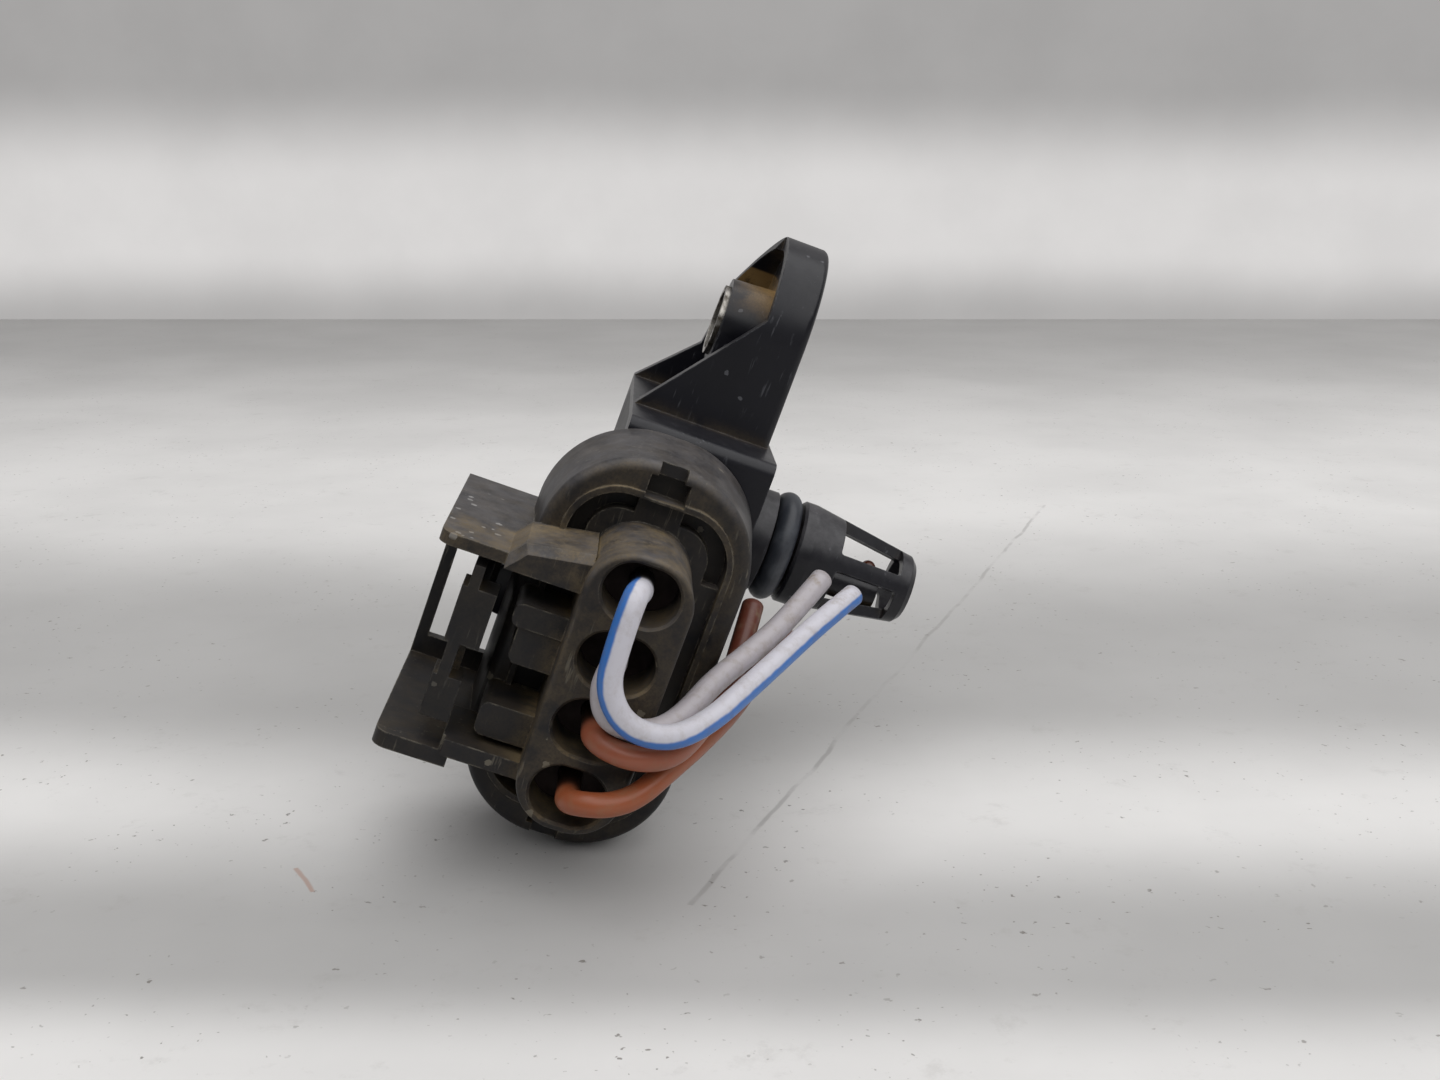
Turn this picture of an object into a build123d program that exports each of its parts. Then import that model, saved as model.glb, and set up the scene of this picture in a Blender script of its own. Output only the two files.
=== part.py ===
"""Manifold pressure and temperature sensor with its four-way plug still mated.

Frame, in millimetres: the origin is where the nozzle's axis meets the flange's mounting face.
The nozzle points to -Z, the mounting ear to +X, and the plug's wires leave towards -Y.
"Rear" means the plug's wire side (-Y), "front" means towards the sensor (+Y).
"""
import os
from math import pi, radians, tan

from build123d import *

os.makedirs("parts", exist_ok=True)

# Clearances
FIT = 0.05                # pieces of one assembly that seat on each other
SLIDE = 0.25              # plug shroud over the sensor's socket
RUN = 0.3                 # round the moving latch
PIVOT_PLAY = 0.12         # round the latch's pivots
CUT = 1.0                 # how far a cut runs past the face that it opens

# Sensor body
BODY_RIGHT = 11.5         # ear side of the body, from the nozzle's axis
BODY_LEFT = -25.6
BODY_REAR = -18.45        # face that the plug comes up against
BODY_FRONT = 10.1
BODY_HEIGHT = 15.1
BODY_WALL = 2.2
BODY_FLOOR = 2.6
REAR_WALL = 5.4           # wall that holds the blades
BODY_CORNER = 5.0
REAR_CORNER = 1.2
EDGE = 0.5                # small rounding on moulded edges

# Lid
LID_THICKNESS = 1.6
LID_LEDGE = 1.0

# Mounting ear
FLANGE_THICKNESS = 4.3
EAR_RELIEF = 0.35         # the ear's underside stands back from the mounting face
EAR_ROUND = 0.7           # rounding of its lower edge
EAR_TIP = 32.1
EAR_HALF = BODY_FRONT
BOLT_X = 21.3
RIM_RISE = 0.7            # low rim round the ear's end, above the flange
GUSSET = 1.5
GUSSET_TOP = 14.9
GUSSET_END = 24.7         # where the near gusset runs out on the flange
FAR_WALL_DIP = 9.2        # its height beside the bolt boss
FAR_WALL_SHOULDER = 8.0   # and past the boss
FAR_WALL_BEND = 4.1       # from the bolt's axis to where the far wall falls again
BUSH_BORE = 6.4           # clearance for an M6 screw
BUSH_WALL = 0.6
BUSH_LENGTH = 9.4
BUSH_SLOT = 0.35          # seam of the rolled bush
BOSS_WALL = 0.9
BOSS_FOOT = 0.5           # how much wider the boss is at its foot
BOSS_HEIGHT = 8.9

# Nozzle, radii from the axis and depths below the mounting face
LAND_R = 5.7
LAND_LENGTH = 4.0
RING_SECTION = 2.65
RING_OUTER = 12.4
GROOVE_WIDTH = 3.1
SHOULDER_R = 5.8
SHOULDER_CHAMFER = 0.3
SHOULDER_LENGTH = 1.3     # collar that guides the nozzle in its port, above the taper
TIP_DEPTH = 21.2
TIP_R = 3.9
TIP_ROUND = 0.6
TIP_RING = 1.9            # solid ring below the cage's slots
SLOT_LENGTH = 7.3
SLOT_ROUND = 0.35         # rounding of the slots' corners
CAGE_WALL = 1.3
CAGE_BARS = 4
BAR_WIDTH = 1.9
BAR_ANGLE = 18.0          # first bar, from -Y towards +X
PORT_X, PORT_Y, PORT_R = -1.8, 0.0, 0.9
PORT_WALL = 0.65
PORT_RECESS = 3.2         # from the tip up to the pressure port's end
PORT_GRIP = 0.5           # how far the port's tube runs into the nozzle
LEAD_X, LEAD_Y = 1.0, 0.4
LEAD_GAP = 0.9            # between the thermistor's two leads
LEAD_R = 0.2
LEAD_HOLE_R = 0.9
BEAD_R = 0.85
BEAD_DROP = 4.4           # bead below the top of the slots

# Plug and socket outlines, centred on the row of cavities
PLUG_X = -8.95
PLUG_Z = 10.3
PITCH = 6.5
WAYS = 4
SEAL_END = 2.05           # seal between core and socket, at the ends of the oval
SEAL_SIDE = 1.3           # and along its sides
SHROUD_FLAT = 2.2         # straight part of the oval's ends
SHROUD_WALL = 1.9
SHROUD_REAR = -29.9
SHROUD_GAP = 0.2          # shroud's front edge to the sensor body
SHROUD_DRAFT = 4.0        # outside flares towards the sensor, degrees
RIM_ROUND = 1.0           # rounding of the shroud's rear edge
PLATE = 3.6               # rear plate of the shroud
SOCKET_WALL = 1.7
SOCKET_END_GAP = 0.4      # socket's rim to the plug's rear plate
SOCKET_FLOOR = -17.2
SOCKET_ROOT = 3.0         # how far the socket's oval root reaches over the body
RIDGE_END_INSET = 2.9     # ridge inside the rim, at the ends of the oval
RIDGE_SIDE_INSET = 1.8
RIDGE_FLAT = 5.7
RIDGE_WIDTH = 0.6
RIDGE_RISE = 0.5
MOAT_DEPTH = 0.9
POCKET_WIDTH = 1.7        # deeper pockets in the moat, beside the ridge
POCKET_DEPTH = 2.6
POCKET_GAP = 4.4          # bridge between two pockets at an end
POCKET_REACH = 6.2        # pockets' length from the oval's end

# Plug core
CORE_REAR = -40.8
CORE_FRONT = -20.6
CORE_HEIGHT = 9.7
CORE_END_WALL = 0.8
CORE_FLAT = 1.1           # straight part of the core's ends
CORE_ROUND = 0.45
CAVITY_WIDTH = 5.3
CAVITY_HEIGHT = 6.9
MOUTH_CHAMFER = 0.25
SLOT_FLAT = 0.01          # flat left at the top of a slot's round end
CAVITY_STEP = -31.5       # where a cavity narrows to its terminal chamber
CHAMBER_WIDTH = 3.1
CHAMBER_HEIGHT = 2.9
LOCK_THICKNESS = 1.4
LOCK_MARGIN = 0.8
SEAL_LENGTH = 3.2
SEAL_RIBS = 3

# Blades, terminals, cable seals and wires
BLADE_WIDTH = 1.5
BLADE_THICKNESS = 0.6
BLADE_TIP = -23.6
BLADE_INNER = -8.6
BLADE_POINT = 0.35
BOX_WIDTH = 2.6
BOX_HEIGHT = 2.3
BOX_LENGTH = 6.0
BOX_WALL = 0.3
SPRING_R = 0.5            # contact bows inside a terminal's box
CRIMP_R = 0.95
CRIMP_LENGTH = 2.4
GRIP_WALL = 0.25
GRIP_LENGTH = 1.2
NECK_WIDTH = 1.4
NECK_HEIGHT = 0.8
WIRE_OD = 2.2
BEND_SHARE = 0.45         # share of the shorter run beside a corner that its bend takes
CABLE_SEAL_LENGTH = 4.0
CABLE_SEAL_RIBS = 2
RIB_DEPTH = 0.3

# Electronics
BOARD_THICKNESS = 1.0
BOARD_MARGIN = 0.6
BOARD_POST_R = 1.2
BOARD_POST_INSET = 1.0    # posts from the board's edges
CELL_LENGTH = 9.6
CELL_WIDTH = 8.4
CELL_HEIGHT = 3.6
CELL_RIGHT = 0.0
CELL_CAP = 1.0
CELL_PIN_R = 0.25
CELL_PIN_EDGE = 0.5       # pins from the cell's long sides and in its top
CELL_PIN_END = 1.0        # pins from its ends
CELL_CAP_INSET = 1.0

# Latch guard on top of the shroud
GUARD_LEFT = -21.1
GUARD_RIGHT = -0.3
GUARD_REAR = -37.2
GUARD_FRONT = -13.6
GUARD_TOP = 28.2
GUARD_BOTTOM = 21.8
GUARD_WALL = 1.1
GUARD_LEFT_WALL = 1.5
GUARD_CORNER = 1.4
BAR_HEIGHT = 1.2
BAR_DEPTH = 1.2
LEFT_LEG = 2.1
RIGHT_LEG = 0.9

# Pillars and posts between core and guard
PILLAR_REAR = -38.2
LEFT_PILLAR = (-19.7, -18.1)
RIGHT_PILLAR = (-1.5, 2.1)
PILLAR_SHOULDER = 1.4     # how far the right pillar stands out of the guard at its top
PILLAR_SLOPE = 0.9        # height of that shoulder
PILLAR_BEVEL = 0.8
PILLAR_BITE = 0.3         # pillars run this far into core and guard
LEFT_POST = (-17.4, -14.2)
RIGHT_POST = (-6.7, -4.5)
POST_REAR = -36.4
POST_TOP = 20.0
POST_ROUND = 0.8
SHELF = (-10.2, -6.0)     # low box beside the right post
SHELF_TOP = 19.2
SHELF_REAR = -35.9

# Coding slots in the rear plate
CODE_WIDTH = 2.1
CODE_HEIGHT = 3.8
CODE_INSET = 1.15         # from the rim's outside
CODE_DEPTH = 2.4
CODE_NOTCH = 2.6
CODE_NOTCH_DEPTH = 1.2

# Latch lever
LEVER_LEFT = -15.6
LEVER_RIGHT = -4.4
LEVER_TOP = 24.5
LEVER_THICKNESS = 1.6
PIVOT_Y = -27.0
PIVOT_R = 0.8
PIVOT_ROOT = 1.0          # pivots run this far into the arm
PIVOT_SEAT = 0.55         # depth of a pivot's seat in the guard wall
PAD_REAR = GUARD_REAR + 0.1
PAD_FRONT = -33.4
PAD_TOP = 25.0
PAD_BOTTOM = 21.8
PAD_SPLIT = (-12.9, -9.7) # low strip between the two halves of the pad
PAD_ROOT = 1.0            # arm runs this far into the pad
PAD_STEP = 0.5            # left half of the pad is thinner by this
PAD_OVERHANG = 1.4        # left half of the pad past the arm
STRIP_BOTTOM = 23.5
STRIP_RISE = 0.1
TAB_RIGHT = -2.3
TAB_HEIGHT = 1.0
HOOK_LENGTH = 1.3
HOOK_SETBACK = 0.1        # hook's front behind the guard's
HOOK_DROP = 2.1
HOOK_CHAMFER = 0.8
HOOK_BACK = 1.4           # solid arm behind the hook
WINDOW_LENGTH = 5.5
WINDOW_WIDTH = 3.2
CATCH_WIDTH = 5.0
CATCH_LENGTH = 2.4
CATCH_TOP_LENGTH = 0.8
CATCH_GRIP = 1.5          # how far the hook reaches below the catch's top

# Each wire's route, from the terminal out of the plug and back beneath it to its cut end
WIRE_ROUTES = {
    1: [(0.8, -30.3, 10.3), (0.8, -35.6, 10.28), (0.83, -41.4, 10.4), (0.6, -44.9, 11.4),
        (-3.4, -45.9, 11.5), (-6.6, -46.2, 11.0), (-9.0, -46.0, 8.3), (-9.4, -44.7, 4.3),
        (-8.1, -40.9, 1.0), (-5.7, -35.7, -2.0), (-3.3, -30.6, -4.9), (-0.5, -25.1, -8.1),
        (2.15, -20.0, -11.4)],
    2: [(-5.7, -30.3, 10.3), (-5.7, -35.2, 10.28), (-5.67, -40.2, 10.3), (-5.8, -42.2, 10.8),
        (-7.3, -43.9, 11.0), (-9.4, -44.0, 9.9), (-10.2, -43.0, 7.1), (-9.8, -41.8, 4.8),
        (-8.5, -38.9, 2.8), (-6.1, -35.2, 0.95), (-3.7, -30.4, -2.2), (-0.7, -25.2, -5.3),
        (2.7, -20.1, -7.85)],
    3: [(-12.2, -30.3, 10.3), (-12.2, -35.2, 10.28), (-12.15, -40.2, 10.2), (-12.1, -42.5, 10.1),
        (-12.0, -44.4, 8.3), (-12.0, -44.2, 5.9), (-11.8, -42.3, 3.5), (-10.9, -39.4, 1.75),
        (-8.9, -35.4, 0.25), (-6.9, -31.0, -1.2), (-4.7, -26.0, -1.75), (-1.95, -21.2, -2.2)],
    4: [(-18.7, -30.3, 10.3), (-18.7, -35.2, 10.28), (-18.65, -40.2, 10.3), (-18.4, -42.3, 10.4),
        (-17.5, -44.1, 9.2), (-16.8, -44.3, 7.0), (-15.8, -42.9, 4.8), (-13.9, -40.0, 2.8),
        (-11.9, -36.2, 0.4), (-9.4, -31.4, -2.2), (-6.4, -26.0, -4.2), (-3.2, -20.8, -5.8)],
}

# Worked-out places
RIM_FRONT = BODY_REAR - SHROUD_GAP
CORE_WIDTH = (WAYS - 1) * PITCH + CAVITY_WIDTH + 2 * CORE_END_WALL
CORE_CORNER = (CORE_HEIGHT - CORE_FLAT) / 2
SHROUD_WIDTH = CORE_WIDTH + 2 * (SEAL_END + SOCKET_WALL + SLIDE + SHROUD_WALL)
SHROUD_HEIGHT = CORE_HEIGHT + 2 * (SEAL_SIDE + SOCKET_WALL + SLIDE + SHROUD_WALL)
SHROUD_CORNER = (SHROUD_HEIGHT - SHROUD_FLAT) / 2
SHROUD_IN_W = SHROUD_WIDTH - 2 * SHROUD_WALL
SHROUD_IN_H = SHROUD_HEIGHT - 2 * SHROUD_WALL
SHROUD_IN_R = SHROUD_CORNER - SHROUD_WALL
SOCKET_W = SHROUD_IN_W - 2 * SLIDE
SOCKET_H = SHROUD_IN_H - 2 * SLIDE
SOCKET_R = SHROUD_IN_R - SLIDE
SOCKET_IN_W = SOCKET_W - 2 * SOCKET_WALL
SOCKET_IN_H = SOCKET_H - 2 * SOCKET_WALL
SOCKET_IN_R = SOCKET_R - SOCKET_WALL
PLATE_FRONT = SHROUD_REAR + PLATE
SOCKET_RIM = PLATE_FRONT + SOCKET_END_GAP
WAY_X = [PLUG_X + ((WAYS - 1) / 2 - i) * PITCH for i in range(WAYS)]
BUSH_R = BUSH_BORE / 2 + BUSH_WALL
GROOVE_R = RING_OUTER / 2 - RING_SECTION
GROOVE_END = LAND_LENGTH + GROOVE_WIDTH
COLLAR_TOP = GROOVE_END + SHOULDER_CHAMFER
COLLAR_END = COLLAR_TOP + SHOULDER_LENGTH
EAR_CENTRE = EAR_TIP - EAR_HALF
SLOT_BOTTOM = TIP_DEPTH - TIP_RING
SLOT_TOP = SLOT_BOTTOM - SLOT_LENGTH
PORT_DEPTH = TIP_DEPTH - PORT_RECESS
BEAD_DEPTH = SLOT_TOP + BEAD_DROP
BORE_R = TIP_R - CAGE_WALL
BOARD_TOP = PLUG_Z - BLADE_THICKNESS / 2
BOARD_Z = BOARD_TOP - BOARD_THICKNESS
LID_BOTTOM = BODY_HEIGHT - LID_THICKNESS
CHAMBER_LEFT = BODY_LEFT + BODY_WALL
CHAMBER_RIGHT = BODY_RIGHT - BODY_WALL
CHAMBER_REAR = BODY_REAR + REAR_WALL
CHAMBER_FRONT = BODY_FRONT - BODY_WALL
SHROUD_TOP = PLUG_Z + SHROUD_HEIGHT / 2
RIM_LIFT = RUN            # guard's front part over the sensor body
LEVER_BOTTOM = LEVER_TOP - LEVER_THICKNESS
HOOK_FRONT = GUARD_FRONT - HOOK_SETBACK
HOOK_REAR = HOOK_FRONT - HOOK_LENGTH
HOOK_BOTTOM = LEVER_BOTTOM - HOOK_DROP
CATCH_FRONT = HOOK_REAR - RUN
CATCH_REAR = CATCH_FRONT - CATCH_LENGTH
CATCH_TOP = HOOK_BOTTOM + CATCH_GRIP
LEVER_X = (LEVER_LEFT + LEVER_RIGHT) / 2


def block(x0, x1, y0, y1, z0, z1):
    """A box between two corners."""
    return Pos((x0 + x1) / 2, (y0 + y1) / 2, (z0 + z1) / 2) * Box(x1 - x0, y1 - y0, z1 - z0)


def prism(outline, y_rear, y_front):
    """An outline drawn in X and Z, carried from y_front back to y_rear."""
    return extrude(Plane.XZ.offset(-y_front) * outline, y_front - y_rear)


def oval(width, height, corner, x=PLUG_X):
    """A rounded rectangle on the plug's centre line."""
    return Pos(x, PLUG_Z) * RectangleRounded(width, height, corner)


def rod(radius, x, y, z0, z1):
    """An upright cylinder."""
    return Pos(x, y, (z0 + z1) / 2) * Cylinder(radius, z1 - z0)


def save(solid, name):
    export_step(solid, f"parts/{name}.step")


def body_plan(margin=0.0):
    """The sensor body seen from above, drawn in by a margin."""
    left, right = BODY_LEFT + margin, BODY_RIGHT - margin
    rear, front = BODY_REAR + margin, BODY_FRONT - margin
    width, depth = right - left, front - rear
    plan = Pos((left + right) / 2, (rear + front) / 2) * Rectangle(width, depth)
    return plan


def nozzle_radius(depth):
    """Radius of the tapered cage at a depth below the mounting face."""
    share = (depth - COLLAR_END) / (TIP_DEPTH - COLLAR_END)
    return SHOULDER_R + (TIP_R - SHOULDER_R) * share


def ear_wall_profile():
    """Side view, in X and Z, of the wall along the ear's far edge."""
    return make_face(Polyline(
        (BODY_RIGHT - GUSSET, EAR_RELIEF), (BODY_RIGHT - GUSSET, BODY_HEIGHT),
        (BODY_RIGHT, BODY_HEIGHT), (BOLT_X - BUSH_R, FAR_WALL_DIP),
        (BOLT_X + FAR_WALL_BEND, FAR_WALL_SHOULDER), (EAR_TIP, FLANGE_THICKNESS + RIM_RISE),
        (EAR_TIP, EAR_RELIEF), close=True))


def ear_plan():
    """The ear seen from above: as deep as the body, with a round end."""
    start = BODY_RIGHT - GUSSET
    plate = Pos((start + EAR_CENTRE) / 2, 0) * Rectangle(EAR_CENTRE - start, 2 * EAR_HALF)
    return Pos(EAR_CENTRE, 0) * Circle(EAR_HALF) + plate


def ear_slab(z0, z1, inset=0.0):
    """The ear's plan, drawn in by an inset, between two heights."""
    plan = offset(ear_plan(), -inset) if inset else ear_plan()
    return Pos(0, 0, z0) * extrude(plan, z1 - z0)


def mounting_ear():
    """Flange plate with a rounded end, a low rim, two gussets and the bolt boss."""
    ear = ear_slab(EAR_RELIEF, FLANGE_THICKNESS)
    lower = ear.edges().group_by(Axis.Z)[0].sort_by(Axis.X)[1:]
    ear = fillet(lower, EAR_ROUND)
    tall = BODY_HEIGHT + GUSSET
    shell = (ear_slab(FLANGE_THICKNESS - EDGE, tall)
             - ear_slab(FLANGE_THICKNESS - 2 * EDGE, tall + EDGE, GUSSET))
    rim_top = FLANGE_THICKNESS + RIM_RISE
    ear += shell & block(EAR_CENTRE, EAR_TIP, -EAR_HALF, EAR_HALF, 0, rim_top)
    ear += shell & prism(ear_wall_profile(), GUSSET, EAR_HALF)
    near = make_face(Polyline(
        (BODY_RIGHT - GUSSET, FLANGE_THICKNESS - EDGE), (BODY_RIGHT - GUSSET, GUSSET_TOP),
        (BODY_RIGHT, GUSSET_TOP), (GUSSET_END, FLANGE_THICKNESS),
        (GUSSET_END, FLANGE_THICKNESS - EDGE), close=True))
    ear += prism(near, -EAR_HALF, -EAR_HALF + GUSSET) & ear_slab(0, tall)
    boss_r = BUSH_R + BOSS_WALL
    web = block(BODY_RIGHT - GUSSET, BOLT_X, -boss_r, -boss_r + GUSSET, EAR_RELIEF, BOSS_HEIGHT)
    ear += web & prism(ear_wall_profile(), -EAR_HALF, EAR_HALF)
    boss_height = BOSS_HEIGHT - EAR_RELIEF
    ear += (Pos(BOLT_X, 0, EAR_RELIEF + boss_height / 2)
            * Cone(boss_r + BOSS_FOOT, boss_r, boss_height))
    return ear - rod(BUSH_R + FIT, BOLT_X, 0, -CUT, BOSS_HEIGHT + CUT)


def nozzle():
    """Turned form of the nozzle: land, ring groove, shoulder and tapered cage."""
    groove_r = GROOVE_R - FIT
    outline = Polyline(
        (0, CUT), (LAND_R, CUT), (LAND_R, -LAND_LENGTH), (groove_r, -LAND_LENGTH),
        (groove_r, -GROOVE_END), (SHOULDER_R - SHOULDER_CHAMFER, -GROOVE_END),
        (SHOULDER_R, -COLLAR_TOP), (SHOULDER_R, -COLLAR_END), (TIP_R, -TIP_DEPTH + TIP_ROUND),
        (TIP_R - TIP_ROUND, -TIP_DEPTH), (0, -TIP_DEPTH), close=True)
    form = revolve(Plane.XZ * make_face(outline), Axis.Z)
    top_r = nozzle_radius(SLOT_TOP) - CAGE_WALL
    form -= revolve(Plane.XZ * make_face(Polyline(
        (0, -SLOT_TOP + CAGE_WALL), (top_r, -SLOT_TOP + CAGE_WALL), (top_r, -SLOT_TOP),
        (BORE_R, -TIP_DEPTH - CUT), (0, -TIP_DEPTH - CUT), close=True)), Axis.Z)
    form -= cage_slots()
    port = rod(PORT_R + PORT_WALL, PORT_X, PORT_Y, -PORT_DEPTH, -SLOT_TOP + CAGE_WALL + PORT_GRIP)
    return form + port


def cage_slots():
    """Openings between the cage's bars, each a quarter with its corners rounded."""
    reach = 2 * SHOULDER_R
    quarter = block(BAR_WIDTH / 2, reach, -reach, -BAR_WIDTH / 2, -SLOT_BOTTOM, -SLOT_TOP)
    near_axis = quarter.edges().filter_by(Axis.X).sort_by(Axis.Y)[-2:]
    across = quarter.edges().filter_by(Axis.Y).sort_by(Axis.X)[:2]
    quarter = fillet(ShapeList(near_axis) + ShapeList(across), SLOT_ROUND)
    slots = Part()
    for i in range(CAGE_BARS):
        slots += Rot(0, 0, BAR_ANGLE + i * 360 / CAGE_BARS) * quarter
    return slots


def sensor_housing():
    """Body, ear, nozzle, socket and latch catch: one moulding."""
    body = extrude(body_plan(), BODY_HEIGHT)
    body = fillet(body.edges().filter_by(Axis.Z).group_by(Axis.Y)[-1].sort_by(Axis.X)[0], BODY_CORNER)
    body = fillet(body.edges().filter_by(Axis.Z).group_by(Axis.Y)[0], REAR_CORNER)
    root = prism(oval(SOCKET_W, SOCKET_H, SOCKET_R), BODY_REAR, BODY_REAR + SOCKET_ROOT)
    socket = (prism(oval(SOCKET_W, SOCKET_H, SOCKET_R), SOCKET_RIM, BODY_REAR))
    catch = prism_x(Polyline(
        (CATCH_REAR, PLUG_Z), (CATCH_REAR, SHROUD_TOP - SHROUD_WALL),
        (CATCH_FRONT - CATCH_TOP_LENGTH, CATCH_TOP), (CATCH_FRONT, CATCH_TOP), (CATCH_FRONT, PLUG_Z),
        close=True), LEVER_X - CATCH_WIDTH / 2, LEVER_X + CATCH_WIDTH / 2)
    housing = body + mounting_ear() + root + socket + catch + nozzle()
    inside = block(CHAMBER_LEFT, CHAMBER_RIGHT, CHAMBER_REAR, CHAMBER_FRONT,
                   BODY_FLOOR, BODY_HEIGHT + CUT)
    inside = fillet(inside.edges().filter_by(Axis.Z), BODY_CORNER - BODY_WALL)
    inside += lid_form(0.0, BODY_HEIGHT + CUT)
    housing -= inside
    housing -= prism(oval(SOCKET_IN_W, SOCKET_IN_H, SOCKET_IN_R), SOCKET_RIM - CUT, SOCKET_FLOOR)
    for x in WAY_X:
        housing -= block(x - BLADE_WIDTH / 2 - FIT, x + BLADE_WIDTH / 2 + FIT,
                         SOCKET_FLOOR - CUT, CHAMBER_REAR + CUT,
                         BOARD_TOP - FIT, BOARD_TOP + BLADE_THICKNESS + FIT)
    housing -= rod(PORT_R, PORT_X, PORT_Y, -TIP_DEPTH, BODY_FLOOR + CUT)
    housing -= rod(LEAD_HOLE_R, LEAD_X, LEAD_Y, -SLOT_TOP, BODY_FLOOR + CUT)
    for x, y in board_posts():
        housing += rod(BOARD_POST_R, x, y, BODY_FLOOR - EDGE, BOARD_Z - FIT)
    return housing


def prism_x(outline, x0, x1):
    """An outline drawn in Y and Z, carried from x0 to x1."""
    return extrude(Plane.YZ.offset(x0) * make_face(outline), x1 - x0)


def lid_form(gap, top):
    """The lid's plan on its ledge, up to a height, with a gap all round."""
    ledge = LID_LEDGE - gap
    form = block(CHAMBER_LEFT - ledge, CHAMBER_RIGHT + ledge,
                 CHAMBER_REAR - ledge, CHAMBER_FRONT + ledge, LID_BOTTOM + gap, top)
    return fillet(form.edges().filter_by(Axis.Z), BODY_CORNER - BODY_WALL + ledge)


def board_posts():
    """Centres of the four posts that carry the circuit board."""
    inset = BOARD_POST_R + BOARD_MARGIN + BOARD_POST_INSET
    xs = (CHAMBER_LEFT + inset, CHAMBER_RIGHT - inset)
    ys = (CHAMBER_REAR + inset, CHAMBER_FRONT - inset)
    return [(x, y) for x in xs for y in ys]


def circuit_board():
    """Board between the blades above and the pressure cell below."""
    board = block(CHAMBER_LEFT + BOARD_MARGIN, CHAMBER_RIGHT - BOARD_MARGIN,
                  CHAMBER_REAR + BOARD_MARGIN, CHAMBER_FRONT - BOARD_MARGIN, BOARD_Z, BOARD_TOP)
    return fillet(board.edges().filter_by(Axis.Z), BODY_CORNER - BODY_WALL - BOARD_MARGIN)


def pressure_cell():
    """Pressure cell on the chamber's floor, with its cap and four pins."""
    x0 = CELL_RIGHT - CELL_LENGTH
    base = BODY_FLOOR + FIT
    cell = block(x0, CELL_RIGHT, -CELL_WIDTH / 2, CELL_WIDTH / 2, base, base + CELL_HEIGHT)
    middle = (x0 + CELL_RIGHT) / 2
    cell += rod(CELL_WIDTH / 2 - CELL_CAP_INSET, middle, 0, base, base + CELL_HEIGHT + CELL_CAP)
    pin_y = CELL_WIDTH / 2 - CELL_PIN_EDGE
    for x in (x0 + CELL_PIN_END, CELL_RIGHT - CELL_PIN_END):
        for y in (-pin_y, pin_y):
            cell += rod(CELL_PIN_R, x, y, base + CELL_HEIGHT - CELL_PIN_EDGE, BOARD_Z - FIT)
    return cell - rod(PORT_R, PORT_X, PORT_Y, base - CUT, base + CELL_HEIGHT / 2)


def thermistor():
    """Bead inside the nozzle's cage on two leads from the board."""
    form = Pos(LEAD_X, LEAD_Y, -BEAD_DEPTH) * Sphere(BEAD_R)
    for side in (-1, 1):
        form += rod(LEAD_R, LEAD_X, LEAD_Y + side * LEAD_GAP / 2, -BEAD_DEPTH, BOARD_Z - FIT)
    return form


def bolt_bush():
    """Rolled steel bush that takes the screw's load, with its seam."""
    bush = rod(BUSH_R, BOLT_X, 0, 0, BUSH_LENGTH) - rod(BUSH_BORE / 2, BOLT_X, 0, -CUT, BUSH_LENGTH + CUT)
    return bush - block(BOLT_X, BOLT_X + 2 * BUSH_R, -BUSH_SLOT / 2, BUSH_SLOT / 2,
                        -CUT, BUSH_LENGTH + CUT)


def nozzle_ring():
    """Rubber ring in the nozzle's groove."""
    middle = LAND_LENGTH + GROOVE_WIDTH / 2
    return Pos(0, 0, -middle) * Torus(RING_OUTER / 2 - RING_SECTION / 2, RING_SECTION / 2)


def blade(x):
    """Blade from the circuit board through the wall into the socket."""
    form = block(x - BLADE_WIDTH / 2, x + BLADE_WIDTH / 2, BLADE_TIP, BLADE_INNER,
                 BOARD_TOP, BOARD_TOP + BLADE_THICKNESS)
    tip = form.edges().filter_by(Axis.Z).group_by(Axis.Y)[0]
    return chamfer(tip, BLADE_POINT)


def lock_form(margin, y_rear, y_front):
    """Outline of the terminal lock on the core's front, drawn in by a margin."""
    return prism(oval(CORE_WIDTH - 2 * margin, CORE_HEIGHT - 2 * margin, CORE_CORNER - margin),
                 y_rear, y_front)


def terminal_lock():
    """Cap on the core's front that keeps the terminals in, with a window for each blade."""
    cap = lock_form(LOCK_MARGIN, CORE_FRONT + FIT, CORE_FRONT + FIT + LOCK_THICKNESS)
    half_width = BLADE_WIDTH / 2 + RUN
    half_height = BLADE_THICKNESS / 2 + RUN
    for x in WAY_X:
        cap -= block(x - half_width, x + half_width, CORE_FRONT - CUT, CORE_FRONT + 2 * LOCK_THICKNESS,
                     PLUG_Z - half_height, PLUG_Z + half_height)
    return cap


def interface_seal():
    """Ribbed seal round the core, inside the sensor's socket."""
    rear = PLATE_FRONT + FIT
    front = rear + SEAL_LENGTH
    gap_w, gap_h = SOCKET_IN_W - 2 * FIT, SOCKET_IN_H - 2 * FIT
    waist = prism(oval(gap_w - 2 * RIB_DEPTH, gap_h - 2 * RIB_DEPTH, SOCKET_IN_R - RIB_DEPTH),
                  rear, front)
    step = SEAL_LENGTH / (2 * SEAL_RIBS - 1)
    for i in range(SEAL_RIBS):
        start = rear + 2 * i * step
        waist += prism(oval(gap_w, gap_h, SOCKET_IN_R), start, start + step)
    hole = prism(oval(CORE_WIDTH + 2 * FIT, CORE_HEIGHT + 2 * FIT, CORE_CORNER + FIT),
                 rear - CUT, front + CUT)
    return waist - hole


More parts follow.
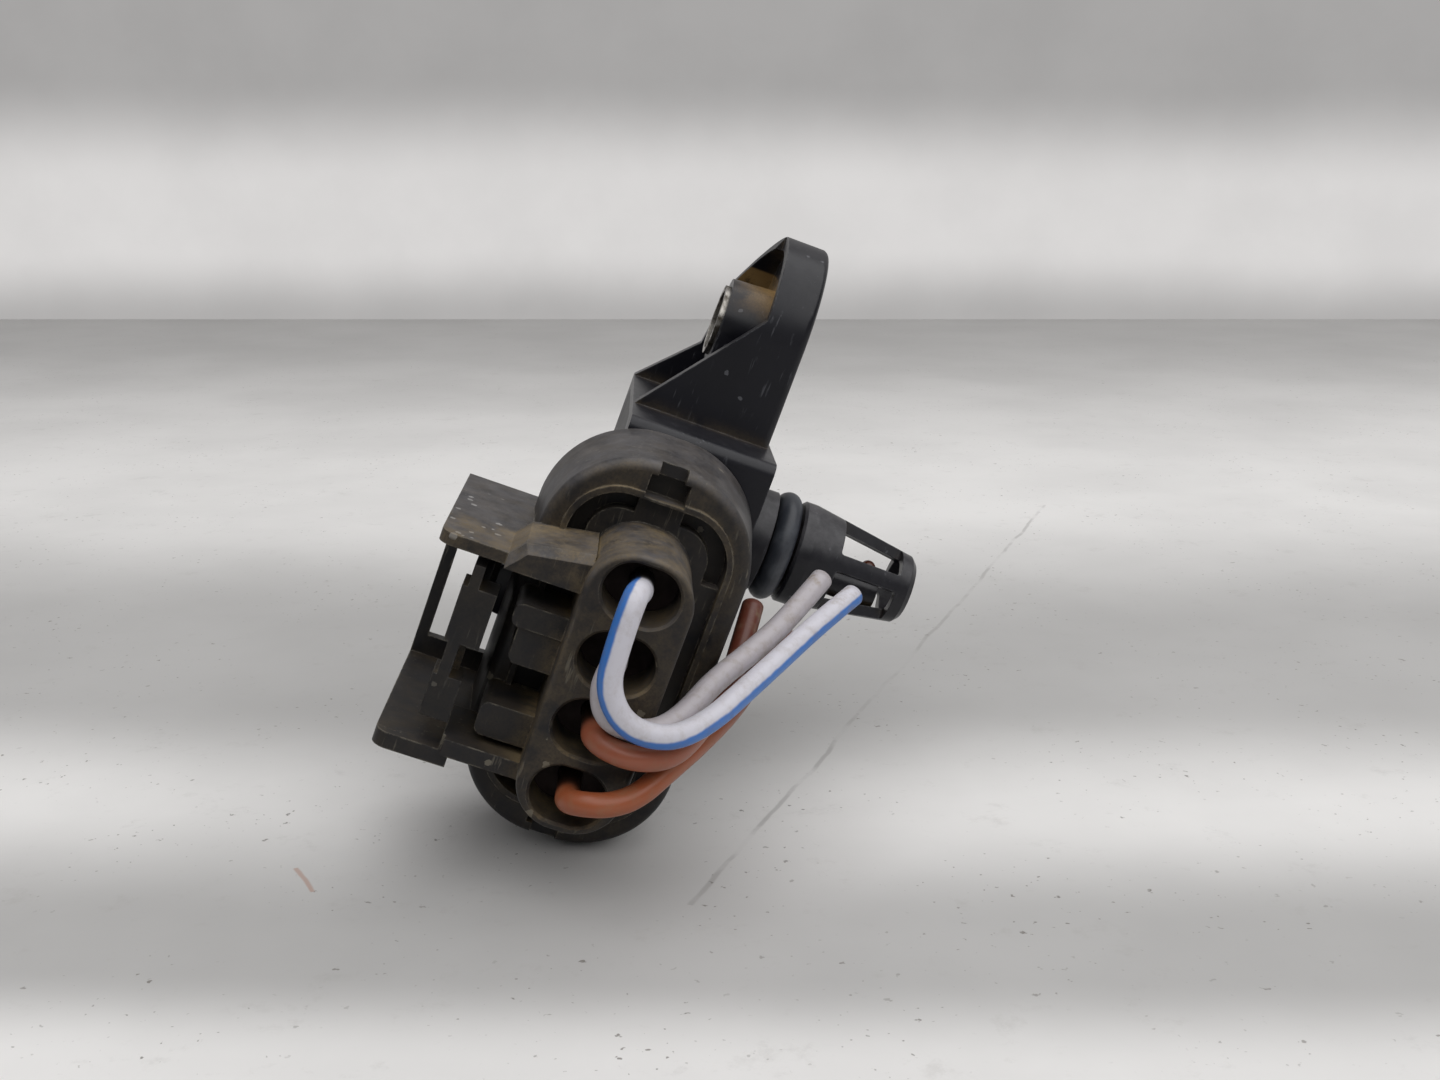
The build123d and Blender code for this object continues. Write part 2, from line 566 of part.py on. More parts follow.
def terminal(x):
    """Female terminal: spring box, neck, conductor crimp and insulation grip."""
    front = CORE_FRONT - FIT
    rear = front - BOX_LENGTH
    box = block(x - BOX_WIDTH / 2, x + BOX_WIDTH / 2, rear, front,
                PLUG_Z - BOX_HEIGHT / 2, PLUG_Z + BOX_HEIGHT / 2)
    box -= block(x - BOX_WIDTH / 2 + BOX_WALL, x + BOX_WIDTH / 2 - BOX_WALL, rear + BOX_WALL,
                 front + CUT, PLUG_Z - BOX_HEIGHT / 2 + BOX_WALL, PLUG_Z + BOX_HEIGHT / 2 - BOX_WALL)
    for side in (-1, 1):
        bow_z = PLUG_Z + side * (BLADE_THICKNESS / 2 + FIT + SPRING_R)
        bow = Pos(x, (rear + front) / 2, bow_z) * Rot(0, 90, 0) * Cylinder(SPRING_R, BOX_WIDTH - BOX_WALL)
        box += bow
    grip_rear = CAVITY_STEP + FIT
    wire_end = grip_rear + GRIP_LENGTH
    neck = block(x - NECK_WIDTH / 2, x + NECK_WIDTH / 2, wire_end, rear + BOX_WALL,
                 PLUG_Z - NECK_HEIGHT / 2, PLUG_Z + NECK_HEIGHT / 2)
    crimp_front = wire_end + CRIMP_LENGTH
    crimp = prism(Pos(x, PLUG_Z) * Circle(CRIMP_R), wire_end + FIT, crimp_front)
    grip = prism(Pos(x, PLUG_Z) * (Circle(WIRE_OD / 2 + FIT + GRIP_WALL) - Circle(WIRE_OD / 2 + FIT)),
                 grip_rear, wire_end)
    wall = prism(Pos(x, PLUG_Z) * Circle(WIRE_OD / 2 + FIT + GRIP_WALL), wire_end, wire_end + GRIP_WALL)
    return box + neck + crimp + wall + grip


def cable_seal(x):
    """Ribbed seal round one wire, in the mouth of its cavity."""
    rear = CAVITY_STEP - FIT - CABLE_SEAL_LENGTH
    step = CABLE_SEAL_LENGTH / (2 * CABLE_SEAL_RIBS - 1)
    width, height = CAVITY_WIDTH - 2 * FIT, CAVITY_HEIGHT - 2 * FIT
    form = prism(Pos(x, PLUG_Z) * slot_face(width - 2 * RIB_DEPTH, height - 2 * RIB_DEPTH),
                 rear, rear + CABLE_SEAL_LENGTH)
    for i in range(CABLE_SEAL_RIBS):
        start = rear + 2 * i * step
        form += prism(Pos(x, PLUG_Z) * slot_face(width, height), start, start + step)
    return form - prism(Pos(x, PLUG_Z) * Circle(WIRE_OD / 2 + FIT), rear - CUT, CAVITY_STEP + CUT)


def slot_face(width, height):
    """An upright slot with round ends."""
    return RectangleRounded(width, height, width / 2 - SLOT_FLAT)


def guard():
    """Two side walls over the latch, with a cross bar and legs at the front."""
    left, right = GUARD_LEFT, GUARD_RIGHT
    outline = Polyline(
        (GUARD_REAR, GUARD_BOTTOM), (SHROUD_REAR + EDGE, GUARD_BOTTOM),
        (SHROUD_REAR + RIM_ROUND, SHROUD_TOP - SHROUD_WALL / 2), (RIM_FRONT, SHROUD_TOP - SHROUD_WALL / 2),
        (RIM_FRONT, SHROUD_TOP + RIM_LIFT), (GUARD_FRONT, SHROUD_TOP + RIM_LIFT),
        (GUARD_FRONT, GUARD_TOP), (GUARD_REAR, GUARD_TOP), close=True)
    walls = Part()
    for x0, x1 in ((left, left + GUARD_LEFT_WALL), (right - GUARD_WALL, right)):
        wall = prism_x(outline, x0, x1)
        corners = wall.edges().filter_by(Axis.X).group_by(Axis.Z)[-1]
        walls += fillet(corners.group_by(Axis.Y)[0], GUARD_CORNER)
    bar = block(left, right, GUARD_FRONT - BAR_DEPTH, GUARD_FRONT, GUARD_TOP - BAR_HEIGHT, GUARD_TOP)
    inner_left, inner_right = left + GUARD_LEFT_WALL, right - GUARD_WALL
    leg_bottom = SHROUD_TOP + RIM_LIFT
    legs = block(inner_left, inner_left + LEFT_LEG, GUARD_FRONT - BAR_DEPTH, GUARD_FRONT,
                 leg_bottom, GUARD_TOP)
    legs += block(inner_right - RIGHT_LEG, inner_right, GUARD_FRONT - BAR_DEPTH, GUARD_FRONT,
                  leg_bottom, GUARD_TOP)
    seats = Part()
    for x0 in (inner_left - PIVOT_SEAT, inner_right):
        seats += pivot_rod(PIVOT_R + PIVOT_PLAY, x0, x0 + PIVOT_SEAT)
    return walls + bar + legs - seats


def pivot_rod(radius, x0, x1):
    """A cylinder on the latch's pivot axis."""
    z = (LEVER_TOP + LEVER_BOTTOM) / 2
    return Pos((x0 + x1) / 2, PIVOT_Y, z) * Rot(0, 90, 0) * Cylinder(radius, x1 - x0)


def right_pillar(core_top, joined):
    """Pillar beside the first cavity: it widens from the guard down to the core."""
    inner, outer = RIGHT_PILLAR
    shoulder = GUARD_BOTTOM - PILLAR_SLOPE
    outline = Polyline(
        (inner, core_top), (outer, core_top), (GUARD_RIGHT + PILLAR_SHOULDER, shoulder),
        (GUARD_RIGHT, joined), (inner, joined), close=True)
    form = prism(make_face(outline), PILLAR_REAR, SHROUD_REAR + EDGE)
    rear = form.faces().sort_by(Axis.Y)[0]
    return chamfer(rear.edges().sort_by(Axis.X)[-2:], PILLAR_BEVEL)


def pillars():
    """Uprights that join the core to the guard, and the posts under the lever."""
    core_top = PLUG_Z + CORE_HEIGHT / 2 - PILLAR_BITE
    joined = GUARD_BOTTOM + PILLAR_BITE
    form = block(*LEFT_PILLAR, PILLAR_REAR, SHROUD_REAR + EDGE, core_top, joined)
    form += block(GUARD_LEFT, LEFT_PILLAR[1], GUARD_REAR, SHROUD_REAR + EDGE,
                  GUARD_BOTTOM - EDGE, GUARD_BOTTOM + EDGE)
    form += right_pillar(core_top, joined)
    for x0, x1 in (LEFT_POST, RIGHT_POST):
        post = block(x0, x1, POST_REAR, SHROUD_REAR + EDGE, core_top, POST_TOP)
        form += fillet(post.edges().filter_by(Axis.Y).group_by(Axis.Z)[-1], POST_ROUND)
    shelf = block(*SHELF, SHELF_REAR, SHROUD_REAR + EDGE, core_top, SHELF_TOP)
    return form + chamfer(shelf.edges().filter_by(Axis.Y).group_by(Axis.Z)[-1], EDGE)


def moat(width, height, corner):
    """Shallow moat inside the ridge, with a deeper pocket in each of its corners."""
    form = prism(oval(width, height, corner), SHROUD_REAR - RIDGE_RISE - CUT, SHROUD_REAR + MOAT_DEPTH)
    ring = (prism(oval(width, height, corner), SHROUD_REAR, SHROUD_REAR + POCKET_DEPTH)
            - prism(oval(width - 2 * POCKET_WIDTH, height - 2 * POCKET_WIDTH, corner - POCKET_WIDTH),
                    SHROUD_REAR - CUT, SHROUD_REAR + POCKET_DEPTH + CUT))
    middle = width / 2 - POCKET_REACH
    ring -= block(PLUG_X - middle, PLUG_X + middle, SHROUD_REAR - CUT, SHROUD_REAR + POCKET_DEPTH + CUT,
                  PLUG_Z - height, PLUG_Z + height)
    ring -= block(PLUG_X - width, PLUG_X + width, SHROUD_REAR - CUT, SHROUD_REAR + POCKET_DEPTH + CUT,
                  PLUG_Z - POCKET_GAP / 2, PLUG_Z + POCKET_GAP / 2)
    return form + ring


def coding_slots():
    """A window in the rear plate at each end of the oval, open to the rim through a notch."""
    form = Part()
    end = SHROUD_WIDTH / 2 - CODE_INSET
    for side in (-1, 1):
        window_x = PLUG_X + side * (end - CODE_WIDTH / 2)
        notch_x = PLUG_X + side * end
        form += Pos(window_x, SHROUD_REAR, PLUG_Z) * Box(CODE_WIDTH, 2 * CODE_DEPTH, CODE_HEIGHT)
        form += (Pos(notch_x, SHROUD_REAR, PLUG_Z)
                 * Box(2 * CODE_INSET + EDGE, 2 * CODE_NOTCH_DEPTH, CODE_NOTCH))
    return form


def core_form():
    """Core with the cavities' outlines round it and its rear edge rounded."""
    core = prism(oval(CORE_WIDTH, CORE_HEIGHT, CORE_CORNER), CORE_REAR, CORE_FRONT)
    return fillet(core.faces().sort_by(Axis.Y)[0].edges(), CORE_ROUND)


def cavity(x):
    """One way through the core: a wide mouth for the cable seal, then the terminal's chamber."""
    mouth = prism(Pos(x, PLUG_Z) * slot_face(CAVITY_WIDTH, CAVITY_HEIGHT), CORE_REAR, CAVITY_STEP)
    lip = Pos(x, PLUG_Z) * slot_face(CAVITY_WIDTH + 2 * MOUTH_CHAMFER, CAVITY_HEIGHT + 2 * MOUTH_CHAMFER)
    mouth += extrude(Plane.XZ.offset(-CORE_REAR) * lip, -MOUTH_CHAMFER, taper=45)
    half_width, half_height = CHAMBER_WIDTH / 2, CHAMBER_HEIGHT / 2
    return mouth + block(x - half_width, x + half_width, CAVITY_STEP - EDGE, CORE_FRONT + CUT,
                         PLUG_Z - half_height, PLUG_Z + half_height)


def shroud_form():
    """Shroud with its rear plate, ridge, moat and coding slots."""
    outer = Plane.XZ.offset(-SHROUD_REAR) * oval(SHROUD_WIDTH, SHROUD_HEIGHT, SHROUD_CORNER)
    shroud = extrude(outer, SHROUD_REAR - RIM_FRONT, taper=-SHROUD_DRAFT)
    shroud = fillet(shroud.faces().sort_by(Axis.Y)[0].edges(), RIM_ROUND)
    shroud -= prism(oval(SHROUD_IN_W, SHROUD_IN_H, SHROUD_IN_R), PLATE_FRONT, RIM_FRONT + CUT)
    ridge_w = SHROUD_WIDTH - 2 * RIDGE_END_INSET
    ridge_h = SHROUD_HEIGHT - 2 * RIDGE_SIDE_INSET
    ridge_r = (ridge_h - RIDGE_FLAT) / 2
    shroud += prism(oval(ridge_w, ridge_h, ridge_r), SHROUD_REAR - RIDGE_RISE, SHROUD_REAR + EDGE)
    shroud -= moat(ridge_w - 2 * RIDGE_WIDTH, ridge_h - 2 * RIDGE_WIDTH, ridge_r - RIDGE_WIDTH)
    return shroud - coding_slots()


def plug_housing():
    """Shroud, rear plate, core with its cavities, pillars and latch guard: one moulding."""
    housing = shroud_form() + core_form() + pillars() + guard()
    for x in WAY_X:
        housing -= cavity(x)
    return housing


def latch_lever():
    """Press pad, arm, pivots and hook of the plug's latch."""
    arm = block(LEVER_LEFT, LEVER_RIGHT, PAD_FRONT - PAD_ROOT, HOOK_FRONT, LEVER_BOTTOM, LEVER_TOP)
    middle = (LEVER_LEFT + LEVER_RIGHT) / 2
    window_front = HOOK_REAR - HOOK_BACK
    arm -= block(middle - WINDOW_WIDTH / 2, middle + WINDOW_WIDTH / 2, window_front - WINDOW_LENGTH,
                 window_front, LEVER_BOTTOM - CUT, LEVER_TOP + CUT)
    hook = block(LEVER_X - CATCH_WIDTH / 2, LEVER_X + CATCH_WIDTH / 2, HOOK_REAR, HOOK_FRONT,
                 HOOK_BOTTOM, LEVER_TOP)
    nose = hook.edges().filter_by(Axis.X).group_by(Axis.Z)[0].sort_by(Axis.Y)[-1]
    hook = chamfer(nose, HOOK_CHAMFER)
    pad = block(LEVER_LEFT - PAD_OVERHANG, PAD_SPLIT[0], PAD_REAR, PAD_FRONT,
                PAD_BOTTOM + PAD_STEP, PAD_TOP)
    pad += block(PAD_SPLIT[1], LEVER_RIGHT, PAD_REAR, PAD_FRONT, PAD_BOTTOM, PAD_TOP)
    pad += block(*PAD_SPLIT, PAD_REAR, PAD_FRONT, STRIP_BOTTOM, LEVER_TOP + STRIP_RISE)
    pad += block(LEVER_RIGHT, TAB_RIGHT, PAD_REAR, PAD_FRONT, LEVER_TOP - TAB_HEIGHT, LEVER_TOP)
    seat_left = GUARD_LEFT + GUARD_LEFT_WALL - PIVOT_SEAT + PIVOT_PLAY
    seat_right = GUARD_RIGHT - GUARD_WALL + PIVOT_SEAT - PIVOT_PLAY
    pivots = pivot_rod(PIVOT_R, seat_left, LEVER_LEFT + PIVOT_ROOT)
    pivots += pivot_rod(PIVOT_R, LEVER_RIGHT - PIVOT_ROOT, seat_right)
    return arm + hook + pad + pivots


def wire(route):
    """A round wire along straight runs joined by arcs as large as the runs allow."""
    points = [Vector(p) for p in route]
    runs = [b - a for a, b in zip(points, points[1:])]
    radii = []
    for before, after in zip(runs, runs[1:]):
        half_turn = radians(before.get_angle(after)) / 2
        radii.append(BEND_SHARE * min(before.length, after.length) / tan(half_turn))
    path = FilletPolyline(*points, radius=radii)
    section = Plane(origin=path @ 0, z_dir=path % 0) * Circle(WIRE_OD / 2)
    tube = sweep(section, path)
    print("tightest radii", [round(r, 2) for r in sorted(radii)[:4]],
          "volume ratio", round(tube.volume / (path.length * pi * WIRE_OD ** 2 / 4), 4),
          "length", round(path.length, 1))
    return tube


save(sensor_housing(), "sensor_housing")
save(lid_form(FIT, BODY_HEIGHT), "housing_lid")
save(bolt_bush(), "bolt_bush")
save(nozzle_ring(), "nozzle_ring")
save(circuit_board(), "circuit_board")
save(pressure_cell(), "pressure_cell")
save(thermistor(), "thermistor")
save(plug_housing(), "plug_housing")
save(latch_lever(), "latch_lever")
save(terminal_lock(), "terminal_lock")
save(interface_seal(), "interface_seal")
for number, route in WIRE_ROUTES.items():
    save(wire(route), f"wire_{number}")
for number, way in enumerate(WAY_X, 1):
    save(blade(way), f"blade_{number}")
    save(terminal(way), f"terminal_{number}")
    save(cable_seal(way), f"cable_seal_{number}")
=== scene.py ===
# %% [markdown]
# # A manifold pressure and temperature sensor with its plug still on
#
# The sensor is a black moulding that bolts to an engine's intake. A slotted nozzle reaches into the
# air, a rubber ring seals it, and a plug with four cut wires is pushed on its side. All the rigid
# pieces come from the CAD model at their real size. This script gives each one its finish, lays the
# four wires as smooth tubes, and sets up the bench, the light and the camera of the photograph.

import math

import bpy
import numpy as np
from mathutils import Matrix, Vector


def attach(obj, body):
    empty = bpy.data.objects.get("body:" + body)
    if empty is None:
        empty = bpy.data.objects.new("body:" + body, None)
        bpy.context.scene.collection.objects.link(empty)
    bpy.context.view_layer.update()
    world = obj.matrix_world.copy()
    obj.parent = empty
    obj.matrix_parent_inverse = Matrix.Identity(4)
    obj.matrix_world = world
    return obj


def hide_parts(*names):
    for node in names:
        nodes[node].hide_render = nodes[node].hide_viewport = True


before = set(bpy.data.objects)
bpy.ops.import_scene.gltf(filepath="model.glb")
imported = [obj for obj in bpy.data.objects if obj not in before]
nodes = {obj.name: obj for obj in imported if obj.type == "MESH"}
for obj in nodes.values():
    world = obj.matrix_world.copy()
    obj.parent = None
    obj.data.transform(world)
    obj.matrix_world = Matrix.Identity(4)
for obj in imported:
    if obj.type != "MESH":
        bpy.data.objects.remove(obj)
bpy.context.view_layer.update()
scene = bpy.context.scene
MM = 0.001
print("CAD nodes:", len(nodes))


# %% [markdown]
# ## Shader helpers
#
# A material is a graph of nodes. Writing each link out takes many lines, so a small class adds a
# node, sets its inputs by name or number, and links whatever is a socket. The same class fills node
# groups. Masks are multiplied, added and turned round all the time, so those sums have short names.

# %% A small class for node graphs
class Graph:
    """Adds nodes to a material or a node group, and links what is passed as a socket."""

    def __init__(self, tree):
        self.tree = tree
        tree.nodes.clear()

    def feed(self, socket, value):
        """Link a socket to this input, or write a plain value on it."""
        if isinstance(value, bpy.types.NodeSocket):
            self.tree.links.new(value, socket)
        else:
            socket.default_value = value

    def add(self, kind, inputs=None, **settings):
        node = self.tree.nodes.new(kind)
        for name, value in settings.items():
            setattr(node, name, value)
        for name, value in (inputs or {}).items():
            self.feed(node.inputs[name], value)
        return node

    def group(self, tree, values=None):
        """The outputs of a node group, with some of its inputs set."""
        return self.add("ShaderNodeGroup", values, node_tree=tree).outputs

    def math(self, operation, a, b=0.0, clamp=False):
        node = self.add("ShaderNodeMath", {0: a, 1: b}, operation=operation, use_clamp=clamp)
        return node.outputs[0]

    def times(self, a, b, clamp=False):
        return self.math("MULTIPLY", a, b, clamp)

    def plus(self, a, b, clamp=False):
        return self.math("ADD", a, b, clamp)

    def inverse(self, value):
        """1 - value, which turns a mask round."""
        return self.math("SUBTRACT", 1.0, value)

    def ramp(self, value, low, high):
        """0 below low, 1 above high, and a smooth step between them."""
        node = self.add("ShaderNodeMapRange", {"Value": value, "From Min": low, "From Max": high},
                        interpolation_type="SMOOTHSTEP")
        return node.outputs["Result"]

    def noise(self, vector, scale, detail=4.0, roughness=0.55):
        node = self.add("ShaderNodeTexNoise", {"Vector": vector, "Scale": scale, "Detail": detail,
                                               "Roughness": roughness})
        return node.outputs["Fac"]

    def mix(self, factor, a, b):
        """Colour a where the factor is 0, and colour b where it is 1."""
        return self.add("ShaderNodeMix", {0: factor, 6: a, 7: b}, data_type="RGBA").outputs[2]

    def object_point(self):
        return self.add("ShaderNodeTexCoord").outputs["Object"]

    def surface(self, shader):
        self.add("ShaderNodeOutputMaterial", {"Surface": shader.outputs[0]})


# %% [markdown]
# Colours are written as a paint chart gives them, from 0 to 255. The shaders work in linear light, so
# each channel goes through the sRGB curve: c / 12.92 for very dark tones, and
# ((c + 0.055) / 1.055) ** 2.4 for all others.

# %% Colours
def rgb(red, green, blue):
    """A colour as a paint chart gives it, 0 to 255, made linear for the shaders."""
    def linear(c):
        c = c / 255
        return c / 12.92 if c <= 0.04045 else ((c + 0.055) / 1.055) ** 2.4
    return (linear(red), linear(green), linear(blue), 1.0)


def scaled(colour, factor):
    """The same hue, lighter or darker."""
    return [c * factor for c in colour[:3]] + [1.0]


print("paint grey 128 in linear light:", round(rgb(128, 128, 128)[0], 3))


# %% [markdown]
# ## Effects shared by the mouldings
#
# Used plastic parts look alike in a few ways. Their edges are slightly round and catch a thin line of
# light, their skin has a fine grain with scratches, and dust stays where nothing wipes it: in corners
# and pockets. Each effect is one node group that the materials share. A group only gives out masks
# and normals, and the material decides what to do with them.

# %% A new node group
def new_group(name, inputs, outputs):
    """A node group with named float inputs {name: value} and outputs [(name, socket type)]."""
    tree = bpy.data.node_groups.new(name, "ShaderNodeTree")
    for label, value in inputs.items():
        socket = tree.interface.new_socket(label, in_out="INPUT", socket_type="NodeSocketFloat")
        socket.default_value = value
    for label, kind in outputs:
        tree.interface.new_socket(label, in_out="OUTPUT", socket_type=kind)
    graph = Graph(tree)
    return graph, graph.add("NodeGroupInput").outputs, graph.add("NodeGroupOutput").inputs


# %% [markdown]
# The moulded skin. The Bevel node turns the normals near an edge, so the edge looks 0.15 mm round. A
# fine noise makes the grain. Scratches are a noise that is stretched along one slanted direction, and
# a coarse noise keeps them in patches.

# %% Group: the moulded skin
NODE_RAYS = 6  # cast from each point by the Bevel and Ambient Occlusion nodes
GRAIN_HEIGHT = 0.02 * MM
SCRATCH_HEIGHT = 0.03 * MM
SCRATCH_TURN = (0.4, 0.7, 0.3)
SCRATCH_STRETCH = (260.0, 2600.0, 2600.0)


def moulded_skin_group():
    graph, given, out = new_group(
        "moulded_skin",
        {"Edge Radius": 0.00015, "Grain Scale": 9000.0, "Grain Depth": 0.15, "Scratch Depth": 0.25},
        [("Normal", "NodeSocketVector"), ("Scratch", "NodeSocketFloat")])
    point = graph.object_point()
    edge = graph.add("ShaderNodeBevel", {"Radius": given["Edge Radius"]}, samples=NODE_RAYS)
    grain = graph.noise(point, given["Grain Scale"], 2.0)
    stretched = graph.add("ShaderNodeMapping", {
        "Vector": point, "Rotation": SCRATCH_TURN, "Scale": SCRATCH_STRETCH}).outputs[0]
    streak = graph.ramp(graph.noise(stretched, 1.0, 3.0), 0.60, 0.72)
    patch = graph.ramp(graph.noise(point, 260.0, 3.0), 0.45, 0.62)
    lines = graph.times(streak, patch)
    bump = graph.add("ShaderNodeBump", {
        "Strength": given["Grain Depth"], "Distance": GRAIN_HEIGHT, "Height": grain,
        "Normal": edge.outputs[0]})
    cut = graph.add("ShaderNodeBump", {
        "Strength": given["Scratch Depth"], "Distance": SCRATCH_HEIGHT, "Height": lines,
        "Normal": bump.outputs[0]}, invert=True)
    graph.feed(out["Normal"], cut.outputs[0])
    graph.feed(out["Scratch"], lines)
    return graph.tree


skin_group = moulded_skin_group()
print("group", skin_group.name, "made of", len(skin_group.nodes), "nodes")


# %% [markdown]
# Settled dust. The Ambient Occlusion node tells how open the surface is to its surroundings within a
# given reach. Where it is closed, dust has gathered. Everywhere else lies a thin film in soft patches,
# and a fine noise breaks both into grains.

# %% Group: settled dust
def settled_dust_group():
    graph, given, out = new_group(
        "settled_dust", {"Reach": 0.002, "Corner": 0.8, "Film": 0.3, "Patch Scale": 350.0},
        [("Mask", "NodeSocketFloat")])
    point = graph.object_point()
    openness = graph.add("ShaderNodeAmbientOcclusion", {"Distance": given["Reach"]},
                         samples=NODE_RAYS, only_local=True)
    closed = graph.inverse(openness.outputs["AO"])
    patches = graph.noise(point, given["Patch Scale"], 6.0, 0.65)
    film = graph.times(graph.ramp(patches, 0.24, 0.74), given["Film"])
    corner = graph.times(graph.ramp(closed, 0.10, 0.65), graph.ramp(patches, 0.28, 0.55))
    both = graph.plus(graph.times(corner, given["Corner"]), film)
    fine = graph.ramp(graph.noise(point, 4200.0, 3.0, 0.6), 0.3, 0.62)
    grainy = graph.plus(0.55, graph.times(fine, 0.45))
    graph.feed(out["Mask"], graph.times(both, grainy, clamp=True))
    return graph.tree


dust_group = settled_dust_group()


# %% [markdown]
# Pale spots. A Voronoi texture scatters one point in each cell. A spot is what lies near that point,
# with a ragged outline, and the cell's own colour decides whether the spot is kept.

# %% Group: pale spots
def pale_spots_group():
    graph, given, out = new_group("pale_spots", {"Scale": 500.0, "Size": 0.2, "Share": 0.3},
                                  [("Mask", "NodeSocketFloat")])
    point = graph.object_point()
    ragged = graph.math("SUBTRACT", graph.noise(point, 2600.0, 3.0), 0.5)
    cells = graph.add("ShaderNodeTexVoronoi", {"Vector": point, "Scale": given["Scale"]})
    near = graph.plus(cells.outputs["Distance"], graph.times(ragged, 0.22))
    spot = graph.math("LESS_THAN", near, given["Size"])
    chosen = graph.add("ShaderNodeSeparateColor", {0: cells.outputs["Color"]}).outputs[0]
    kept = graph.math("LESS_THAN", chosen, given["Share"])
    graph.feed(out["Mask"], graph.times(spot, kept))
    return graph.tree


spots_group = pale_spots_group()


# %% [markdown]
# Pale worn edges. Near an edge the bevelled normal differs from the face's own one. The mask is
# 1 - n . b, the difference between the two, and a noise breaks the line up.

# %% Group: pale worn edges
def worn_edge_group():
    graph, given, out = new_group("worn_edge", {"Width": 0.0003, "Amount": 0.5},
                                  [("Mask", "NodeSocketFloat")])
    point = graph.object_point()
    soft = graph.add("ShaderNodeBevel", {"Radius": given["Width"]}, samples=NODE_RAYS)
    flat = graph.add("ShaderNodeNewGeometry").outputs["Normal"]
    match = graph.add("ShaderNodeVectorMath", {0: soft.outputs[0], 1: flat}, operation="DOT_PRODUCT")
    bent = graph.ramp(graph.inverse(match.outputs["Value"]), 0.03, 0.2)
    broken = graph.ramp(graph.noise(point, 900.0, 5.0, 0.7), 0.42, 0.6)
    worn = graph.times(bent, broken)
    graph.feed(out["Mask"], graph.times(worn, given["Amount"], clamp=True))
    return graph.tree


edge_group = worn_edge_group()
print("node groups:", sorted(tree.name for tree in bpy.data.node_groups))


# %% [markdown]
# ## Finishes
#
# Body and plug are both black plastic, but they have aged apart. The body keeps a cool satin black.
# The plug was outside the clean zone, so a brown-grey film covers it. One function makes both, with
# other colours and amounts. The part lies on its side, so wear, dust and the painted sheen from the
# lamp above need the direction that is up as it lies, in the model's own frame.

# %% Zones of the model
UP_AS_IT_LIES = (0.938, 0.0, 0.345)
X, Y, Z = 0, 1, 2


def new_material(name):
    material = bpy.data.materials.new(name)
    material.use_nodes = True
    return material, Graph(material.node_tree)


def zone(graph, axis, low, high):
    """0 below low and 1 above high, both in mm along one axis of the model."""
    place = graph.add("ShaderNodeSeparateXYZ", {0: graph.object_point()}).outputs[axis]
    return graph.ramp(place, low * MM, high * MM)


def everywhere(graph):
    return 1.0


def lying_up(graph):
    """0 on faces that look down or sideways as the part lies, 1 on those that look up."""
    normal = graph.add("ShaderNodeNewGeometry").outputs["Normal"]
    up = graph.add("ShaderNodeVectorMath", {0: normal, 1: UP_AS_IT_LIES}, operation="DOT_PRODUCT")
    return graph.ramp(up.outputs["Value"], -0.1, 0.75)


# %% [markdown]
# Wear comes in three kinds. Rubbed edges, scratches and spots show the material's own paler tone.
# Scuffs are a broad grey haze on the faces that look up, partly real scuffing and partly a painted
# sheen from the lamp above. On the guard of the plug there is a row of small pale marks besides.

# %% Wear and painted sheen on a moulding
SCRATCH_PALENESS = 0.4
SPOT_PALENESS = 0.55
SCUFF_AND_SHEEN_GREY = rgb(150, 147, 150)
ROW_MARK_GREY = rgb(168, 166, 164)


def rubbed(graph, base, worn, scratch, wear, spots):
    """Rubbed edges, scratches and spots. spots is (scale, size of one, share of cells with one)."""
    edges = graph.group(edge_group, {"Amount": wear})["Mask"]
    rub = graph.math("MAXIMUM", edges, graph.times(scratch, SCRATCH_PALENESS))
    pale = graph.group(spots_group, dict(zip(("Scale", "Size", "Share"), spots)))["Mask"]
    base = graph.mix(rub, base, worn)
    return graph.mix(graph.times(pale, SPOT_PALENESS), base, worn)


def scuffed_and_sheen(graph, base, amount, where):
    """A soft grey haze on what looks up, scaled by a zone: partly scuffs, partly a painted sheen."""
    haze = graph.ramp(graph.noise(graph.object_point(), 420.0, 8.0, 0.75), 0.15, 0.85)
    haze = graph.times(haze, lying_up(graph))
    return graph.mix(graph.times(graph.times(haze, where(graph)), amount), base, SCUFF_AND_SHEEN_GREY)


def row_marked(graph, base, where):
    """Small pale marks in a zone."""
    small = graph.group(spots_group, {"Scale": 820.0, "Size": 0.3, "Share": 0.6})["Mask"]
    mark = graph.times(graph.times(small, where(graph)), SPOT_PALENESS)
    return graph.mix(mark, base, ROW_MARK_GREY)


# %% [markdown]
# Dust lies on top of the wear, in two tones of the same brown. A stain is a thick heap of it in one
# pocket, so it uses the same group with a wide reach and no film.

# %% Dust on a moulding
HEAP = {"Reach": 0.006, "Corner": 2.2, "Film": 0.0}
DARK_DUST = 0.62


def dusty(graph, base, dust, amounts, where):
    """The dusty colour, and the mask of where the dust lies."""
    lying = graph.times(graph.group(dust_group, amounts)["Mask"], where(graph))
    two_tones = graph.ramp(graph.noise(graph.object_point(), 240.0, 5.0), 0.3, 0.75)
    tone = graph.mix(two_tones, dust, scaled(dust, DARK_DUST))
    return graph.mix(lying, base, tone), lying


def stained(graph, base, stain, where):
    """A heap of dirt of its own colour in one zone."""
    heap = graph.group(dust_group, HEAP)["Mask"]
    return graph.mix(graph.times(heap, where(graph), clamp=True), base, stain)


# %% [markdown]
# The whole finish, from the plastic outwards. Dust makes the surface rougher, and so do the cloudy
# patches that handling leaves.

# %% Black mouldings
PATCH_LIGHTNESS = 1.35
PLASTIC_IOR = 1.4


